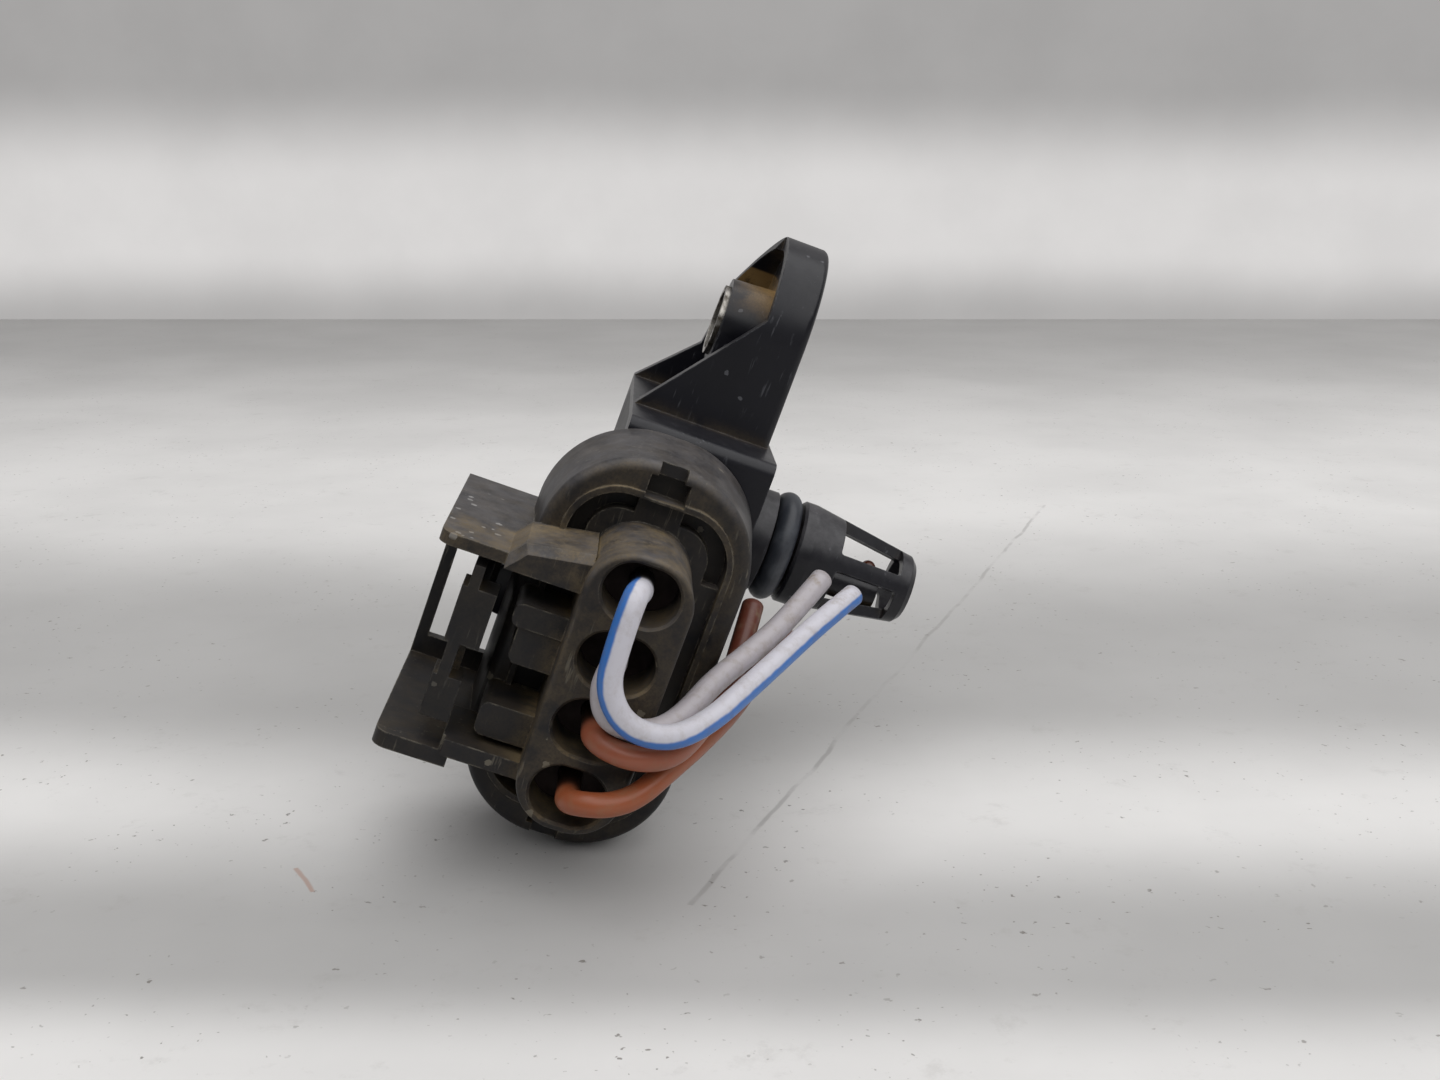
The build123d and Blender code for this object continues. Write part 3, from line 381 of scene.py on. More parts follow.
def moulding(name, plain, worn, dust, corner=0.6, film=0.15, dust_reach=0.002, wear=0.5, gloss=0.42,
             dusty_zone=everywhere, stain=None, stain_zone=everywhere, spots=(500.0, 0.16, 0.0),
             speckled_zone=None, scuff_and_sheen=0.0, scuff_and_sheen_zone=everywhere):
    """Satin plastic with rounded edges, scratches, pale worn edges, spots and settled dust."""
    material, graph = new_material(name)
    skin = graph.group(skin_group)
    cloud = graph.noise(graph.object_point(), 120.0, 4.0)
    base = graph.mix(graph.ramp(cloud, 0.35, 0.7), plain, scaled(plain, PATCH_LIGHTNESS))
    base = rubbed(graph, base, worn, skin["Scratch"], wear, spots)
    # a grey haze on what looks up: partly scuffs, partly a painted sheen from the lamp above
    base = scuffed_and_sheen(graph, base, scuff_and_sheen, scuff_and_sheen_zone)
    if speckled_zone is not None:
        base = row_marked(graph, base, speckled_zone)
    amounts = {"Reach": dust_reach, "Corner": corner, "Film": film}
    base, lying = dusty(graph, base, dust, amounts, dusty_zone)
    if stain is not None:
        base = stained(graph, base, stain, stain_zone)
    rough = graph.plus(gloss, graph.times(lying, 0.4))
    rough = graph.plus(rough, graph.times(graph.ramp(cloud, 0.3, 0.75), 0.1), clamp=True)
    graph.surface(graph.add("ShaderNodeBsdfPrincipled", {
        "Base Color": base, "Roughness": rough, "Normal": skin["Normal"], "IOR": PLASTIC_IOR}))
    return material


# %% [markdown]
# The road side of the plug is the dirty one: behind its rear plate the dust is thick, and round the
# shroud's side it is thin. On the body only the pocket round the bolt boss has caught brown dirt. A
# zone is a smooth step along one axis of the model, and it scales the dust or the wear.

# %% Where the dust lies
def plug_zone(graph):
    """Thick behind the rear plate, thin on the shroud and on the latch, and most on what looks up."""
    behind = graph.inverse(zone(graph, Y, -30.6, -29.0))
    latch = graph.times(zone(graph, Z, 14.5, 17.5), graph.inverse(zone(graph, X, -4.0, -1.0)))
    off_latch = graph.inverse(graph.times(latch, 0.92))
    thick = graph.times(graph.times(behind, off_latch), 0.8)
    from_above = graph.plus(0.42, graph.times(lying_up(graph), 0.75))
    return graph.times(graph.plus(0.2, thick), from_above)


def ear_pocket(graph):
    """The far end of the ear's pocket: past the bolt in X, and inside the rim."""
    end = graph.times(zone(graph, X, 22.5, 26.5), zone(graph, Z, 1.5, 3.0))
    inside = graph.inverse(zone(graph, X, 27.3, 27.6))
    return graph.times(graph.times(end, inside), 0.8)


# %% [markdown]
# Wear and the painted sheen have zones too. The nozzle has been pushed into its port and pulled out
# of it, and the plug's upper side has been handled; on both, the grey haze is partly that wear and
# partly a painted sheen from the lamp above.

# %% Where the wear and the painted sheen show
def plug_scuff_and_sheen(graph):
    """Most on the plug's upper side, as the part lies, and little at its lower end."""
    return graph.plus(0.15, graph.times(zone(graph, X, -16.0, -4.0), 0.85))


def body_scuff_and_sheen(graph):
    """Most on the nozzle, and more at its neck than at its tip."""
    nozzle = graph.inverse(zone(graph, Z, -2.0, 0.0))
    neck = graph.plus(0.35, graph.times(zone(graph, Z, -15.0, -9.0), 0.45))
    return graph.plus(0.2, graph.times(nozzle, neck))


def guard_wall(graph):
    """The guard's upper wall, as the part lies, between the lever and its rear edge."""
    wall = graph.times(zone(graph, X, -0.9, -0.5), zone(graph, Z, 22.6, 23.6))
    return graph.times(wall, graph.inverse(zone(graph, Y, -20.5, -18.5)))


# %% [markdown]
# The colours: first the plastic as it was moulded, then its worn tone, then the dust.

# %% The black pieces
TAN = rgb(134, 116, 86)
OCHRE = rgb(168, 136, 88)
# The scuff amounts paint a grey haze on what looks up: partly wear, partly a painted sheen.
body_black = moulding(
    "body_black", rgb(17, 17, 23), rgb(104, 105, 110), TAN, 0.3, 0.0, gloss=0.30, scuff_and_sheen=0.3,
    scuff_and_sheen_zone=body_scuff_and_sheen, stain=OCHRE, stain_zone=ear_pocket, spots=(520.0, 0.12, 0.2))
plug_black = moulding(
    "plug_black", rgb(17, 17, 21), rgb(128, 122, 108), TAN, 0.95, 0.66, scuff_and_sheen=0.32,
    scuff_and_sheen_zone=plug_scuff_and_sheen, dust_reach=0.0032, wear=0.75, dusty_zone=plug_zone,
    spots=(420.0, 0.16, 0.14), speckled_zone=guard_wall)
latch_black = moulding(
    "latch_black", rgb(17, 17, 20), rgb(96, 93, 86), TAN, 0.4, 0.08, gloss=0.44,
    spots=(500.0, 0.12, 0.08))
lid_black = moulding("lid_black", rgb(30, 32, 38), rgb(84, 84, 86), TAN, 0.4, 0.1)
lock_grey = moulding("lock_grey", rgb(150, 150, 146), rgb(180, 180, 176), TAN, 0.5)
board_green = moulding("board_green", rgb(28, 78, 44), rgb(60, 110, 70), TAN, 0.1, 0.0)
cell_dark = moulding("cell_dark", rgb(60, 60, 62), rgb(100, 100, 100), TAN, 0.1, 0.0)
print("plug_black is made of", len(plug_black.node_tree.nodes), "nodes")


# %% [markdown]
# Rubber is darker and softer than plastic, with no worn edges. A faint bloom lies on it in clouds.

# %% Rubber
RUBBER_IOR = 1.5


def rubber(name, plain, bloom, gloss):
    """Soft skin with a faint bloom and a very fine grain."""
    material, graph = new_material(name)
    point = graph.object_point()
    cloud = graph.ramp(graph.noise(point, 500.0, 5.0, 0.6), 0.4, 0.72)
    grain = graph.noise(point, 11000.0, 2.0)
    bump = graph.add("ShaderNodeBump", {"Strength": 0.2, "Distance": GRAIN_HEIGHT, "Height": grain})
    graph.surface(graph.add("ShaderNodeBsdfPrincipled", {
        "Base Color": graph.mix(graph.times(cloud, 0.6), plain, bloom),
        "Roughness": graph.plus(gloss, graph.times(cloud, 0.2)),
        "Normal": bump.outputs[0], "IOR": RUBBER_IOR}))
    return material


ring_rubber = rubber("ring_rubber", rgb(48, 51, 58), rgb(82, 86, 92), 0.38)
seal_rubber = rubber("seal_rubber", rgb(38, 20, 15), rgb(34, 26, 20), 0.65)
bead_brown = rubber("bead_brown", rgb(74, 36, 22), rgb(96, 70, 54), 0.25)

# %% [markdown]
# Plated steel is bright where the screw has rubbed it and dull elsewhere. Fine turning marks run round
# it, which a noise gives that is squeezed along the bush's axis.

# %% Metal
TURNING_STRETCH = (400.0, 400.0, 9000.0)
METAL_EDGE = 0.12 * MM


def metal(name, bright, dull, polish, tarnish_scale=700.0):
    """Plated metal: bright patches, dull tarnish and fine turning marks."""
    material, graph = new_material(name)
    point = graph.object_point()
    tarnish = graph.ramp(graph.noise(point, tarnish_scale, 6.0, 0.65), 0.4, 0.68)
    squeezed = graph.add("ShaderNodeMapping", {"Vector": point, "Scale": TURNING_STRETCH}).outputs[0]
    marks = graph.noise(squeezed, 1.0, 2.0)
    edge = graph.add("ShaderNodeBevel", {"Radius": METAL_EDGE}, samples=NODE_RAYS)
    bump = graph.add("ShaderNodeBump", {
        "Strength": 0.25, "Distance": GRAIN_HEIGHT, "Height": marks, "Normal": edge.outputs[0]})
    graph.surface(graph.add("ShaderNodeBsdfPrincipled", {
        "Base Color": graph.mix(tarnish, bright, dull), "Metallic": 1.0,
        "Roughness": graph.plus(polish, graph.times(tarnish, 0.3)),
        "Normal": bump.outputs[0]}))
    return material


bush_steel = metal("bush_steel", rgb(168, 164, 158), rgb(84, 78, 70), 0.28)
tinned = metal("tinned", rgb(190, 190, 186), rgb(140, 138, 132), 0.3)

# %% [markdown]
# Each CAD piece now gets its finish. The four blades share one, and so do the terminals and the cable
# seals, so a piece is also looked up without its number. The wires have none here: tubes take their
# place below.

# %% Finishes on the CAD pieces
FINISHES = {
    "sensor_housing": body_black, "housing_lid": lid_black, "bolt_bush": bush_steel,
    "nozzle_ring": ring_rubber, "circuit_board": board_green, "pressure_cell": cell_dark,
    "thermistor": bead_brown, "plug_housing": plug_black, "latch_lever": latch_black,
    "terminal_lock": lock_grey, "interface_seal": seal_rubber,
    "blade": tinned, "terminal": tinned, "cable_seal": seal_rubber,
}


def finish_of(name):
    """The finish of a CAD piece, by its own name or by its name without the number."""
    return FINISHES.get(name) or FINISHES.get(name.rstrip("_1234"))


for name, obj in nodes.items():
    if finish_of(name) is not None:
        obj.data.materials.clear()
        obj.data.materials.append(finish_of(name))
print("left for the tubes:", [name for name in nodes if finish_of(name) is None])

# %% [markdown]
# ## The wires
#
# Each wire is a round tube that leaves its cavity, turns back on itself and ends in a cut beneath the
# plug. A NURBS line with a few chosen control points gives the smooth route. The tube is swept along
# that line with numpy, so its surface can carry its own coordinates: the share of a turn round the
# wire, and the distance along it. The blue stripe and the dirt near the ends are drawn with them.
#
# The control points are in mm in the model's frame. The first three of each wire lie inside the plug
# and hold it straight there.

# %% Routes
WAYS = (1, 2, 3, 4)
WIRE_DIAMETER = 2.2 * MM
WIRE_ROUTES = {
    1: [(0.8, -30.3, 10.3), (0.8, -35.6, 10.28), (1.3, -41.4, 10.5), (2.1, -45.0, 11.2),
        (-2.4, -45.9, 11.2), (-6.2, -46.2, 10.9), (-9.0, -46.0, 8.3), (-9.4, -44.7, 4.3),
        (-8.1, -40.9, 1.0), (-5.7, -35.7, -2.0), (-3.3, -30.6, -4.9), (-0.5, -25.1, -8.1),
        (2.15, -20.0, -11.4)],
    2: [(-5.7, -30.3, 10.3), (-5.7, -35.2, 10.28), (-5.67, -40.2, 10.3), (-5.8, -42.2, 10.8),
        (-7.3, -43.9, 11.0), (-9.4, -44.0, 9.9), (-10.2, -43.0, 7.1), (-9.8, -41.8, 4.8),
        (-8.5, -38.9, 2.8), (-6.1, -35.2, 0.95), (-3.7, -30.4, -2.2), (-0.7, -25.2, -5.3),
        (2.7, -20.1, -7.85)],
    3: [(-12.2, -30.3, 10.3), (-12.2, -35.2, 10.28), (-12.15, -40.2, 10.2), (-12.1, -42.5, 10.1),
        (-12.0, -44.4, 8.3), (-12.0, -44.2, 5.9), (-11.8, -42.3, 3.5), (-10.9, -39.4, 1.75),
        (-8.9, -35.4, 0.25), (-6.9, -31.0, -1.2), (-4.7, -26.0, -1.75), (-1.95, -21.2, -2.2)],
    4: [(-18.7, -30.3, 10.3), (-18.7, -35.2, 10.28), (-18.65, -40.2, 10.3), (-18.4, -42.3, 10.4),
        (-17.5, -44.1, 9.2), (-16.8, -44.3, 7.0), (-15.8, -42.9, 4.8), (-13.9, -40.0, 2.8),
        (-11.9, -36.2, 0.4), (-9.4, -31.4, -2.2), (-6.4, -26.0, -4.2), (-3.2, -20.8, -5.8)],
}
print("control points:", {way: len(WIRE_ROUTES[way]) for way in WAYS})


# %% [markdown]
# Blender works out the NURBS line. A throwaway curve object turns it into points, which are then read
# into numpy.

# %% A smooth line
def smooth_line(name, points):
    """The points of a NURBS line with these control points, at an even spacing in its parameter."""
    curve = bpy.data.curves.new(name, "CURVE")
    curve.dimensions = "3D"
    spline = curve.splines.new("NURBS")
    spline.points.add(len(points) - 1)
    flat = np.column_stack([np.array(points) * MM, np.ones(len(points))]).ravel()
    spline.points.foreach_set("co", flat)
    spline.order_u = 3
    spline.use_endpoint_u = True
    spline.resolution_u = 16
    holder = bpy.data.objects.new(name, curve)
    mesh = bpy.data.meshes.new_from_object(holder)
    line = np.zeros(len(mesh.vertices) * 3)
    mesh.vertices.foreach_get("co", line)
    bpy.data.objects.remove(holder)
    bpy.data.curves.remove(curve)
    bpy.data.meshes.remove(mesh)
    return line.reshape(-1, 3)


def distances(line):
    """Distance along the line at each of its points."""
    steps = np.linalg.norm(np.diff(line, axis=0), axis=1)
    return np.concatenate([[0.0], np.cumsum(steps)])


# %% [markdown]
# A tube needs two directions across the line at each point. They are carried along: each new side is
# the last one with its part along the tangent t taken away, s - t (s . t), so the tube never twists.

# %% Directions across the line
def frames_along(line):
    """The tangent at each point, and two unit vectors across it that are carried without twist."""
    tangent = np.gradient(line, axis=0)
    tangent /= np.linalg.norm(tangent, axis=1, keepdims=True)
    side = np.cross(tangent[0], (0.0, 0.0, 1.0))
    sides = []
    for t in tangent:
        side = side - t * side.dot(t)
        side = side / np.linalg.norm(side)
        sides.append(side)
    sides = np.array(sides)
    return tangent, sides, np.cross(tangent, sides)


# %% [markdown]
# Tube and strands are both grids of points: one row for each step along, one column for each step
# round. The faces between them follow one rule.

# %% Meshes from grids of points
def ring_quads(rows, columns):
    """The faces of a rows x columns grid of points that is closed round each row.

    Face (i, j) joins rows i and i+1 between columns j and j+1, and the last column meets the first.
    """
    i, j = np.meshgrid(np.arange(rows - 1), np.arange(columns), indexing="ij")
    after = (j + 1) % columns
    return np.stack([i * columns + j, i * columns + after, (i + 1) * columns + after,
                     (i + 1) * columns + j], axis=-1).reshape(-1, 4)


def new_piece(name, points, faces, material):
    """A smooth mesh object at the origin."""
    mesh = bpy.data.meshes.new(name)
    mesh.from_pydata(points.reshape(-1, 3).tolist(), [], faces.tolist())
    mesh.materials.append(material)
    mesh.shade_smooth()
    obj = bpy.data.objects.new(name, mesh)
    scene.collection.objects.link(obj)
    return obj


def add_map(mesh, uv):
    """A UV map for a grid mesh. uv has one column more than the points, so the seam isn't torn."""
    corners = np.stack([uv[:-1, :-1], uv[:-1, 1:], uv[1:, 1:], uv[1:, :-1]], axis=2)
    mesh.uv_layers.new(name="along").data.foreach_set("uv", corners.ravel())


# %% [markdown]
# The tube itself is one formula. A few more rows at each end draw it in to nothing.

# %% The tube
TUBE_COLUMNS = 28
CUT_AT_PLUG = (0.0, 0.6, 0.93)  # shares of the radius, row by row
CUT_AT_END = (0.97, 0.62, 0.0)


def wire_tube(name, line, radius, material):
    """Tube P(s, a) = C(s) + r(s) * (cos a * side(s) + sin a * up(s)), closed at both cuts.

    C is the centre line. r is the wire's radius, and at each end three more rows draw it in to
    nothing, which makes the flat cut through the insulation.
    """
    tangent, side, up = frames_along(line)
    along = distances(line)
    index = np.concatenate([[0, 0, 0], np.arange(len(line)), [-1, -1, -1]])
    radii = radius * np.concatenate([CUT_AT_PLUG, np.ones(len(line)), CUT_AT_END])
    angle = np.linspace(0, 2 * math.pi, TUBE_COLUMNS, endpoint=False)
    across = (np.cos(angle)[None, :, None] * side[index][:, None, :]
              + np.sin(angle)[None, :, None] * up[index][:, None, :])
    points = line[index][:, None, :] + radii[:, None, None] * across
    obj = new_piece(name, points, ring_quads(len(index), TUBE_COLUMNS), material)
    turn = np.linspace(0, 1, TUBE_COLUMNS + 1)
    share = along[index] / along[-1]
    add_map(obj.data, np.stack(np.broadcast_arrays(turn[None, :], share[:, None]), axis=-1))
    return obj


# %% [markdown]
# Insulation is smooth and slightly glossy. Its colour is even, with handling dirt that grows towards
# the cut end, and the stretch inside the plug is painted dark as shade inside the cavity. A stripe is
# a band between two shares of the turn. Real wires twist a little as they are bent, so the band may
# move round the wire between two places along it.

# %% A stripe along a wire
STRIPE_SOFTNESS = 0.02


def stripe_band(graph, turn, along, stripe_at, width):
    """1 on the stripe.

    stripe_at is (share of the turn at the plug, share at the cut, and the two places along the wire,
    as shares of its length, between which the stripe moves from one to the other).
    """
    near_turn, far_turn, low, high = stripe_at
    centre = graph.plus(near_turn, graph.times(graph.ramp(along, low, high), far_turn - near_turn))
    noise = graph.noise(graph.object_point(), 900.0, 2.0)
    wave = graph.times(graph.math("SUBTRACT", noise, 0.5), 0.03)
    off = graph.math("ABSOLUTE", graph.math("SUBTRACT", graph.plus(turn, wave), centre))
    return graph.inverse(graph.ramp(off, width - STRIPE_SOFTNESS, width + STRIPE_SOFTNESS))


# %% [markdown]
# Two layers go over the colour: first the brown dirt of handling, then painted shade for the
# cavity's dark mouth, which ends where the wire comes out of the plug.

# %% Insulation
INSIDE_PLUG = 11.3 * MM
DIRTY_END = 5.0 * MM
HAND_DIRT = rgb(132, 114, 88)
CAVITY_SHADE = rgb(34, 27, 22)
INSULATION_IOR = 1.5


def insulation(name, length, colour, far=None, stripe=None, stripe_at=None, stripe_width=None,
               dirt=0.35):
    """Coloured insulation. far is the darker colour that it turns to towards the cut end."""
    material, graph = new_material(name)
    place = graph.add("ShaderNodeUVMap", uv_map="along").outputs[0]
    turn, along, _ = graph.add("ShaderNodeSeparateXYZ", {0: place}).outputs
    base = colour if far is None else graph.mix(graph.ramp(along, 0.55, 0.8), colour, far)
    if stripe is not None:
        band = stripe_band(graph, turn, along, stripe_at, stripe_width)
        base = graph.mix(band, base, stripe)
    grime = graph.ramp(graph.noise(graph.object_point(), 700.0, 6.0, 0.7), 0.44, 0.78)
    end = graph.ramp(along, 1.0 - DIRTY_END / length, 1.0)
    amount = graph.plus(dirt, graph.times(end, 0.8))
    base = graph.mix(graph.times(grime, amount, clamp=True), base, HAND_DIRT)
    # painted shade on the stretch inside the cavity
    mouth = graph.inverse(graph.ramp(along, (INSIDE_PLUG - 2.2 * MM) / length,
                                     (INSIDE_PLUG + 0.6 * MM) / length))
    base = graph.mix(graph.times(mouth, 0.93), base, CAVITY_SHADE)
    graph.surface(graph.add("ShaderNodeBsdfPrincipled", {
        "Base Color": base, "Roughness": graph.plus(0.36, graph.times(grime, 0.25)),
        "IOR": INSULATION_IOR}))
    return material


# %% [markdown]
# The copper in each cut is seven fine strands. Six twist round the middle one, and the cutters left
# them at slightly different lengths.

# %% Strands in the cut ends
STRANDS = 7
STRAND_RADIUS = 0.19 * MM
STRAND_ROWS, STRAND_COLUMNS = 7, 10
STRAND_ROOT = 1.2 * MM
STRAND_REACH = 0.55 * MM
TWIST = math.radians(50) / MM


def strand_stub(name, line, material):
    """Seven strands that stand out of the cut: one in the middle and six twisted round it.

    Strand k has its centre at D(s) = C + s * t + q * (cos(k * 60 deg + w * s) * side + sin(...) * up),
    where C and t are the wire's end and direction there, w is the twist, and q is about two strand
    radii, or 0 in the middle.
    """
    tangent, side, up = (v[-1] for v in frames_along(line))
    k = np.arange(STRANDS)
    q = np.where(k == STRANDS - 1, 0.0, 2.05 * STRAND_RADIUS)
    ends = STRAND_REACH * (1.0 - 0.35 * np.abs(np.sin(k * 2.3 + 0.4)))
    s = -STRAND_ROOT + np.linspace(0.0, 1.0, STRAND_ROWS)[None, :] * (STRAND_ROOT + ends[:, None])
    turn = k[:, None] * math.radians(60) + s * TWIST
    centre = (line[-1] + s[..., None] * tangent + q[:, None, None] * (
        np.cos(turn)[..., None] * side + np.sin(turn)[..., None] * up))
    centre = np.concatenate([centre[:, :1], centre, centre[:, -1:]], axis=1)
    radii = STRAND_RADIUS * np.concatenate([[0.0], np.ones(STRAND_ROWS), [0.0]])
    angle = np.linspace(0, 2 * math.pi, STRAND_COLUMNS, endpoint=False)
    across = np.cos(angle)[:, None] * side + np.sin(angle)[:, None] * up
    points = centre[:, :, None, :] + radii[None, :, None, None] * across[None, None]
    rows = points.shape[1]
    first = np.arange(STRANDS) * rows * STRAND_COLUMNS
    faces = (ring_quads(rows, STRAND_COLUMNS)[None] + first[:, None, None]).reshape(-1, 4)
    return new_piece(name, points, faces, material)


# %% [markdown]
# Every wire takes the place of its CAD stand-in and moves with the sensor's body, and its length is
# printed. The first wire is white with a blue stripe, and its copper is still bright.

# %% Lay the wires
WIRE_LOOKS = {
    1: {"colour": rgb(204, 202, 210), "stripe": rgb(52, 112, 188),
        "stripe_at": (0.64, 0.455, 0.36, 0.58), "stripe_width": 0.085, "dirt": 0.3},
    2: {"colour": rgb(176, 170, 174), "dirt": 0.45},
    3: {"colour": rgb(148, 82, 58), "far": rgb(98, 48, 34)},
    4: {"colour": rgb(152, 82, 50), "far": rgb(120, 62, 42)},
}
bare_copper = metal("bare_copper", rgb(206, 132, 100), rgb(150, 96, 70), 0.4, 2500.0)
brown_copper = metal("brown_copper", rgb(168, 128, 84), rgb(112, 82, 54), 0.45, 2500.0)
WIRE_COPPER = {1: bare_copper, 2: brown_copper, 3: brown_copper, 4: brown_copper}

for way in WAYS:
    line = smooth_line(f"route_{way}", WIRE_ROUTES[way])
    length = distances(line)[-1]
    cover = insulation(f"insulation_{way}", length, **WIRE_LOOKS[way])
    tube = wire_tube(f"wire_{way}_tube", line, WIRE_DIAMETER / 2, cover)
    stub = strand_stub(f"wire_{way}_strands", line, WIRE_COPPER[way])
    for piece in (tube, stub):
        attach(piece, "sensor")
    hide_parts(f"wire_{way}")
    print(f"wire {way}: {length / MM:.1f} mm")

# %% [markdown]
# ## Bench, light and camera
#
# The sensor lies on its side. In the model's own frame the bench is therefore a tilted plane, which
# touches the lowest point of the part. A white sheet stands upright behind it. The camera's place and
# aim come from fitting the CAD model's points to the photograph.

# %% Where the bench and the sheet stand
FLOOR_UP = Vector(UP_AS_IT_LIES).normalized()
CAMERA_PLACE = Vector((37.18, -172.25, 22.77)) * MM
CAMERA_AIM = Vector((1.36, -12.53, 2.03)) * MM
WALL_DISTANCE = 0.42
WALL_HEIGHT = 0.6
HALF_WIDTH = 1.2
NEAR = 0.6


def lowest_along(direction):
    """Least value of direction . p over all the CAD points."""
    least = []
    for obj in nodes.values():
        co = np.zeros(len(obj.data.vertices) * 3)
        obj.data.vertices.foreach_get("co", co)
        least.append((co.reshape(-1, 3) @ np.array(direction)).min())
    return min(least)


away = CAMERA_AIM - CAMERA_PLACE
away = (away - FLOOR_UP * away.dot(FLOOR_UP)).normalized()
across = away.cross(FLOOR_UP)
floor_level = lowest_along(FLOOR_UP)
floor_corner = FLOOR_UP * floor_level - away * NEAR - across * HALF_WIDTH
wall_corner = FLOOR_UP * floor_level + away * WALL_DISTANCE - across * HALF_WIDTH
print("bench", round(floor_level / MM, 2), "mm along its own up")


# %% [markdown]
# The scratch and the orange mark lie at known places of the picture. A ray from the camera through
# such a place meets the bench at C + d (h - C . n) / (d . n), where C is the camera, d the ray, n the
# bench's normal and h its level.

# %% From the picture to the bench
PICTURE_WIDTH, PICTURE_HEIGHT = 1440, 1080
SENSOR_WIDTH = 36.0
LENS = 40.1
view_away = (CAMERA_AIM - CAMERA_PLACE).normalized()
view_right = view_away.cross(FLOOR_UP).normalized()
view_up = view_right.cross(view_away)


def ray_through(u, v):
    """Direction from the camera through a point of the picture, counted from its upper left."""
    focal = LENS / SENSOR_WIDTH * PICTURE_WIDTH
    return (view_away * focal + view_right * (u - PICTURE_WIDTH / 2)
            - view_up * (v - PICTURE_HEIGHT / 2))


def on_floor(u, v):
    """Where a point of the picture falls on the bench, in the bench's own map."""
    ray = ray_through(u, v)
    hit = CAMERA_PLACE + ray * ((floor_level - CAMERA_PLACE.dot(FLOOR_UP)) / ray.dot(FLOOR_UP))
    return ((hit - floor_corner).dot(across), (hit - floor_corner).dot(away))


SCRATCH = (on_floor(690, 905), on_floor(1045, 505))
MARK = (on_floor(296, 868), on_floor(312, 892))
print("scratch on the bench's map, mm:", [[round(c / MM) for c in end] for end in SCRATCH])


# %% [markdown]
# Painted shade: the soft broad bands that the room's light leaves on the bench and on the sheet are
# painted on. A band fades in and out, and where two overlap their shares of light are multiplied.

# %% Painted bands of shade
def painted_shade_bands(graph, along, bands):
    """Painted shade: 1 where no band lies, 1 - depth in the middle of a band that fades in and out.

    A band is (where it begins, where it is full, where it starts to fade, where it ends) in mm from
    the part's foot, and its depth.
    """
    level = 1.0
    for begins, full, fades, ends, depth in bands:
        inside = graph.times(graph.ramp(along, begins * MM, full * MM),
                             graph.inverse(graph.ramp(along, fades * MM, ends * MM)))
        level = graph.times(level, graph.inverse(graph.times(inside, depth)))
    return level


# %% [markdown]
# A stroke is drawn in its own frame: its start at the origin and its line along X. Then the distance
# from the line is |y|, and the ends are at 0 and at its length.

# %% A stroke on the bench
def stroke(graph, place, start, end, width):
    """1 within width of the segment from start to end on the sheet, fading to 0 at its edge."""
    dx, dy = end[0] - start[0], end[1] - start[1]
    moved = graph.add("ShaderNodeMapping", {
        "Vector": place, "Location": (-start[0], -start[1], 0.0)}, vector_type="POINT").outputs[0]
    turned = graph.add("ShaderNodeVectorRotate", {
        "Vector": moved, "Angle": -math.atan2(dy, dx)}, rotation_type="Z_AXIS").outputs[0]
    x, y, _ = graph.add("ShaderNodeSeparateXYZ", {0: turned}).outputs
    wave = graph.times(graph.math("SUBTRACT", graph.noise(place, 70.0, 4.0), 0.5), width * 5)
    off = graph.math("ABSOLUTE", graph.plus(y, wave))
    beside = graph.inverse(graph.ramp(off, width * 0.3, width))
    inside = graph.times(graph.math("GREATER_THAN", x, 0.0),
                         graph.math("LESS_THAN", x, math.hypot(dx, dy)))
    return graph.times(beside, inside)


# %% [markdown]
# Dirt on the bench: brown-grey specks in clusters, faint smears, one long scratch and one small orange
# mark.

# %% Marks on the bench
SCRATCH_WIDTH = 0.4 * MM
MARK_WIDTH = 0.35 * MM


def bench_marks(graph, place, base):
    """The paint's colour with the dirt laid over it."""
    dots = graph.ramp(graph.noise(place, 1000.0, 2.0, 0.6), 0.67, 0.72)
    clusters = graph.ramp(graph.noise(place, 60.0, 3.0), 0.42, 0.6)
    base = graph.mix(graph.times(graph.times(dots, clusters), 0.7), base, rgb(96, 88, 80))
    smear = graph.ramp(graph.noise(place, 160.0, 6.0, 0.75), 0.56, 0.72)
    base = graph.mix(graph.times(smear, 0.16), base, rgb(140, 134, 128))
    broken = graph.ramp(graph.noise(place, 120.0, 4.0), 0.4, 0.6)
    scratch = graph.times(stroke(graph, place, *SCRATCH, SCRATCH_WIDTH),
                          graph.plus(0.04, graph.times(broken, 0.36)))
    base = graph.mix(scratch, base, rgb(136, 132, 130))
    mark = graph.times(stroke(graph, place, *MARK, MARK_WIDTH), 0.45)
    return graph.mix(mark, base, rgb(166, 104, 66))


# %% [markdown]
# Bench and sheet are only seen from their front, so that a camera on the far side still sees the part.
# The sheet shows plain: to the camera and in reflections it glows with the colour it is painted in,
# painted shade bands included, however it is lit. To all other light it is ordinary paint.

# %% Off-white paint
BLACK = rgb(0, 0, 0)
PAINT_ROUGHNESS = 0.55


def shown_plain(graph, base, shader):
    """The paint's own colour where a camera or a mirror looks, and lit paint for all other light."""
    rays = graph.add("ShaderNodeLightPath").outputs
    seen = graph.math("MAXIMUM", rays["Is Camera Ray"], graph.math(
        "MAXIMUM", rays["Is Glossy Ray"], rays["Is Transmission Ray"]))
    plain = graph.add("ShaderNodeEmission", {"Color": base, "Strength": 1.0})
    return graph.add("ShaderNodeMixShader", {0: seen, 1: shader.outputs[0], 2: plain.outputs[0]})


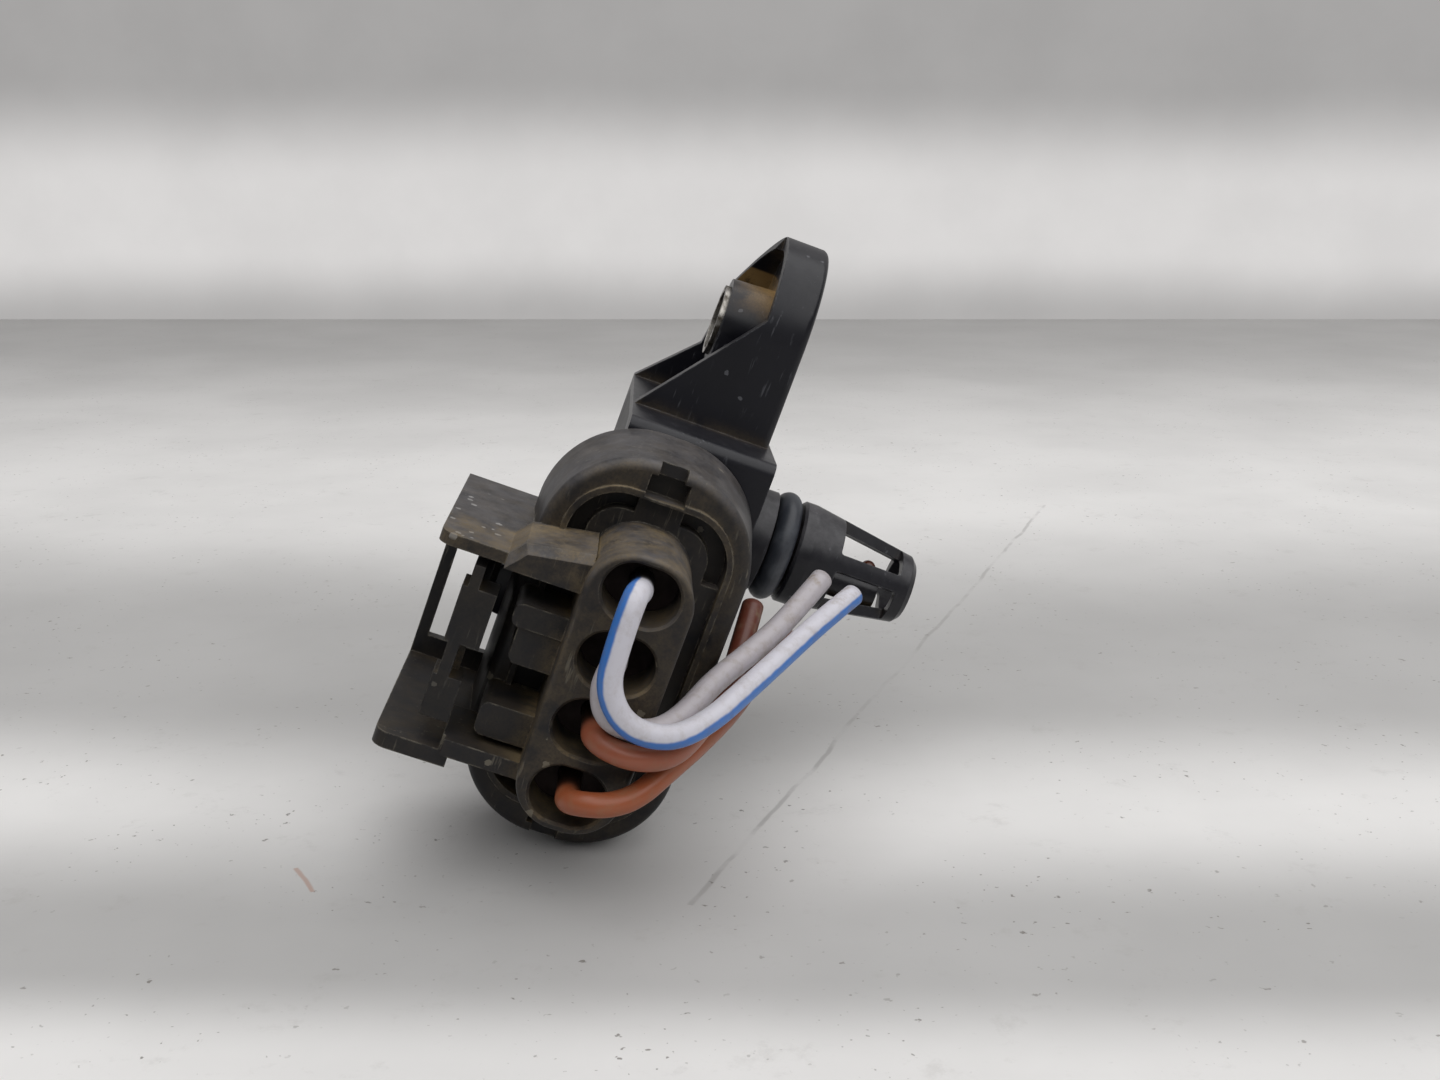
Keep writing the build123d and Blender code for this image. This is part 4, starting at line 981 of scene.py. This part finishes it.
def one_sided(name, colour, bands, foot, blotch, marked=False, plain=False):
    """Off-white paint, painted shade bands across the view and blotches, seen only from its front.

    The bands run along the second axis of the sheet's own map, on which the part's foot is at foot.
    """
    material, graph = new_material(name)
    place = graph.add("ShaderNodeUVMap", uv_map="sheet").outputs[0]
    _, up_map, _ = graph.add("ShaderNodeSeparateXYZ", {0: place}).outputs
    along = graph.math("SUBTRACT", up_map, foot)
    wave = graph.times(graph.math("SUBTRACT", graph.noise(place, 4.0, 2.0), 0.5), 0.02)
    shade_level = painted_shade_bands(graph, graph.plus(along, wave), bands)
    cloud = graph.ramp(graph.noise(place, 22.0, 5.0), 0.3, 0.7)
    level = graph.times(shade_level, graph.inverse(graph.times(cloud, blotch)))
    base = graph.mix(level, BLACK, colour)
    if marked:
        base = bench_marks(graph, place, base)
    shader = graph.add("ShaderNodeBsdfPrincipled", {"Base Color": base, "Roughness": PAINT_ROUGHNESS})
    if plain:
        shader = shown_plain(graph, base, shader)
    clear = graph.add("ShaderNodeBsdfTransparent")
    back = graph.add("ShaderNodeNewGeometry").outputs["Backfacing"]
    graph.surface(graph.add("ShaderNodeMixShader", {
        0: back, 1: shader.outputs[0], 2: clear.outputs[0]}))
    return material


# %% [markdown]
# Both are flat rectangles with a map in metres, and both belong to the stage, not to the part.

# %% Lay the bench and stand the sheet
# Painted shade: the first bench band darkens its near end and the others lie across it; the sheet's
# first band darkens its foot, the second all that lies above a light strip.
BENCH_SHADE_BANDS = [(-700, -690, -110, -70, 0.42), (-68, -55, -46, -22, 0.42), (-20, 12, 42, 115, 0.42),
               (125, 370, 600, 700, 0.47)]
WALL_SHADE_BANDS = [(-20, -10, 0, 26, 0.36), (48, 85, 700, 710, 0.44)]


def sheet(name, origin, along_x, along_y, size, material):
    """A flat rectangle from origin, with a UV map in metres along its two sides."""
    corners = [(0, 0), (size[0], 0), (size[0], size[1]), (0, size[1])]
    mesh = bpy.data.meshes.new(name)
    places = [tuple(origin + along_x * x + along_y * y) for x, y in corners]
    mesh.from_pydata(places, [], [(0, 1, 2, 3)])
    layer = mesh.uv_layers.new(name="sheet")
    layer.data.foreach_set("uv", np.array(corners, dtype=float).ravel())
    mesh.materials.append(material)
    obj = bpy.data.objects.new(name, mesh)
    scene.collection.objects.link(obj)


bench_white = one_sided("bench_white", rgb(236, 234, 232), BENCH_SHADE_BANDS, NEAR, 0.10, marked=True)
sheet_white = one_sided("sheet_white", rgb(218, 216, 215), WALL_SHADE_BANDS, 0.0, 0.06, plain=True)
sheet("floor", floor_corner, across, away, (2 * HALF_WIDTH, NEAR + WALL_DISTANCE), bench_white)
sheet("backdrop", wall_corner, across, FLOOR_UP, (2 * HALF_WIDTH, WALL_HEIGHT), sheet_white)
print("bench", NEAR + WALL_DISTANCE, "m deep, sheet", WALL_HEIGHT, "m high")

# %% [markdown]
# The camera stands upright on the bench's own up, not on the model's Z. Its axes are the three view
# directions from above.

# %% Camera
camera_data = bpy.data.cameras.new("camera")
camera_data.lens = LENS
camera_data.sensor_width = SENSOR_WIDTH
camera_data.clip_start = 0.01
camera_data.clip_end = 10.0
camera = bpy.data.objects.new("camera", camera_data)
scene.collection.objects.link(camera)
camera.matrix_world = Matrix.Translation(CAMERA_PLACE) @ Matrix(
    (view_right, view_up, -view_away)).transposed().to_4x4()
scene.camera = camera
print("camera", round((CAMERA_PLACE - CAMERA_AIM).length / MM), "mm from its aim")


# %% [markdown]
# The light is soft: a wide ceiling lamp, a little to the right and towards the camera, and a weak
# second one above and left of the camera. The world fills the shadows. The Standard view shows colours
# about as they are written.

# %% Light
def lamp(name, place, size, watts):
    """A round lamp that looks at the model's origin."""
    data = bpy.data.lights.new(name, "AREA")
    data.shape = "DISK"
    data.size = size
    data.energy = watts
    obj = bpy.data.objects.new(name, data)
    obj.location = place
    obj.rotation_euler = (-place).to_track_quat("-Z", "Y").to_euler()
    scene.collection.objects.link(obj)


lamp("ceiling", FLOOR_UP * 0.85 - away * 0.25 + across * 0.25, 2.0, 15.5)
lamp("window", CAMERA_PLACE + FLOOR_UP * 0.35 - across * 0.35, 0.4, 0.12)

world = bpy.data.worlds.new("room")
world.use_nodes = True
scene.world = world
room = Graph(world.node_tree)
background = room.add("ShaderNodeBackground", {"Color": (0.95, 0.97, 1.0, 1.0), "Strength": 0.14})
room.add("ShaderNodeOutputWorld", {"Surface": background.outputs[0]})
scene.view_settings.view_transform = "Standard"
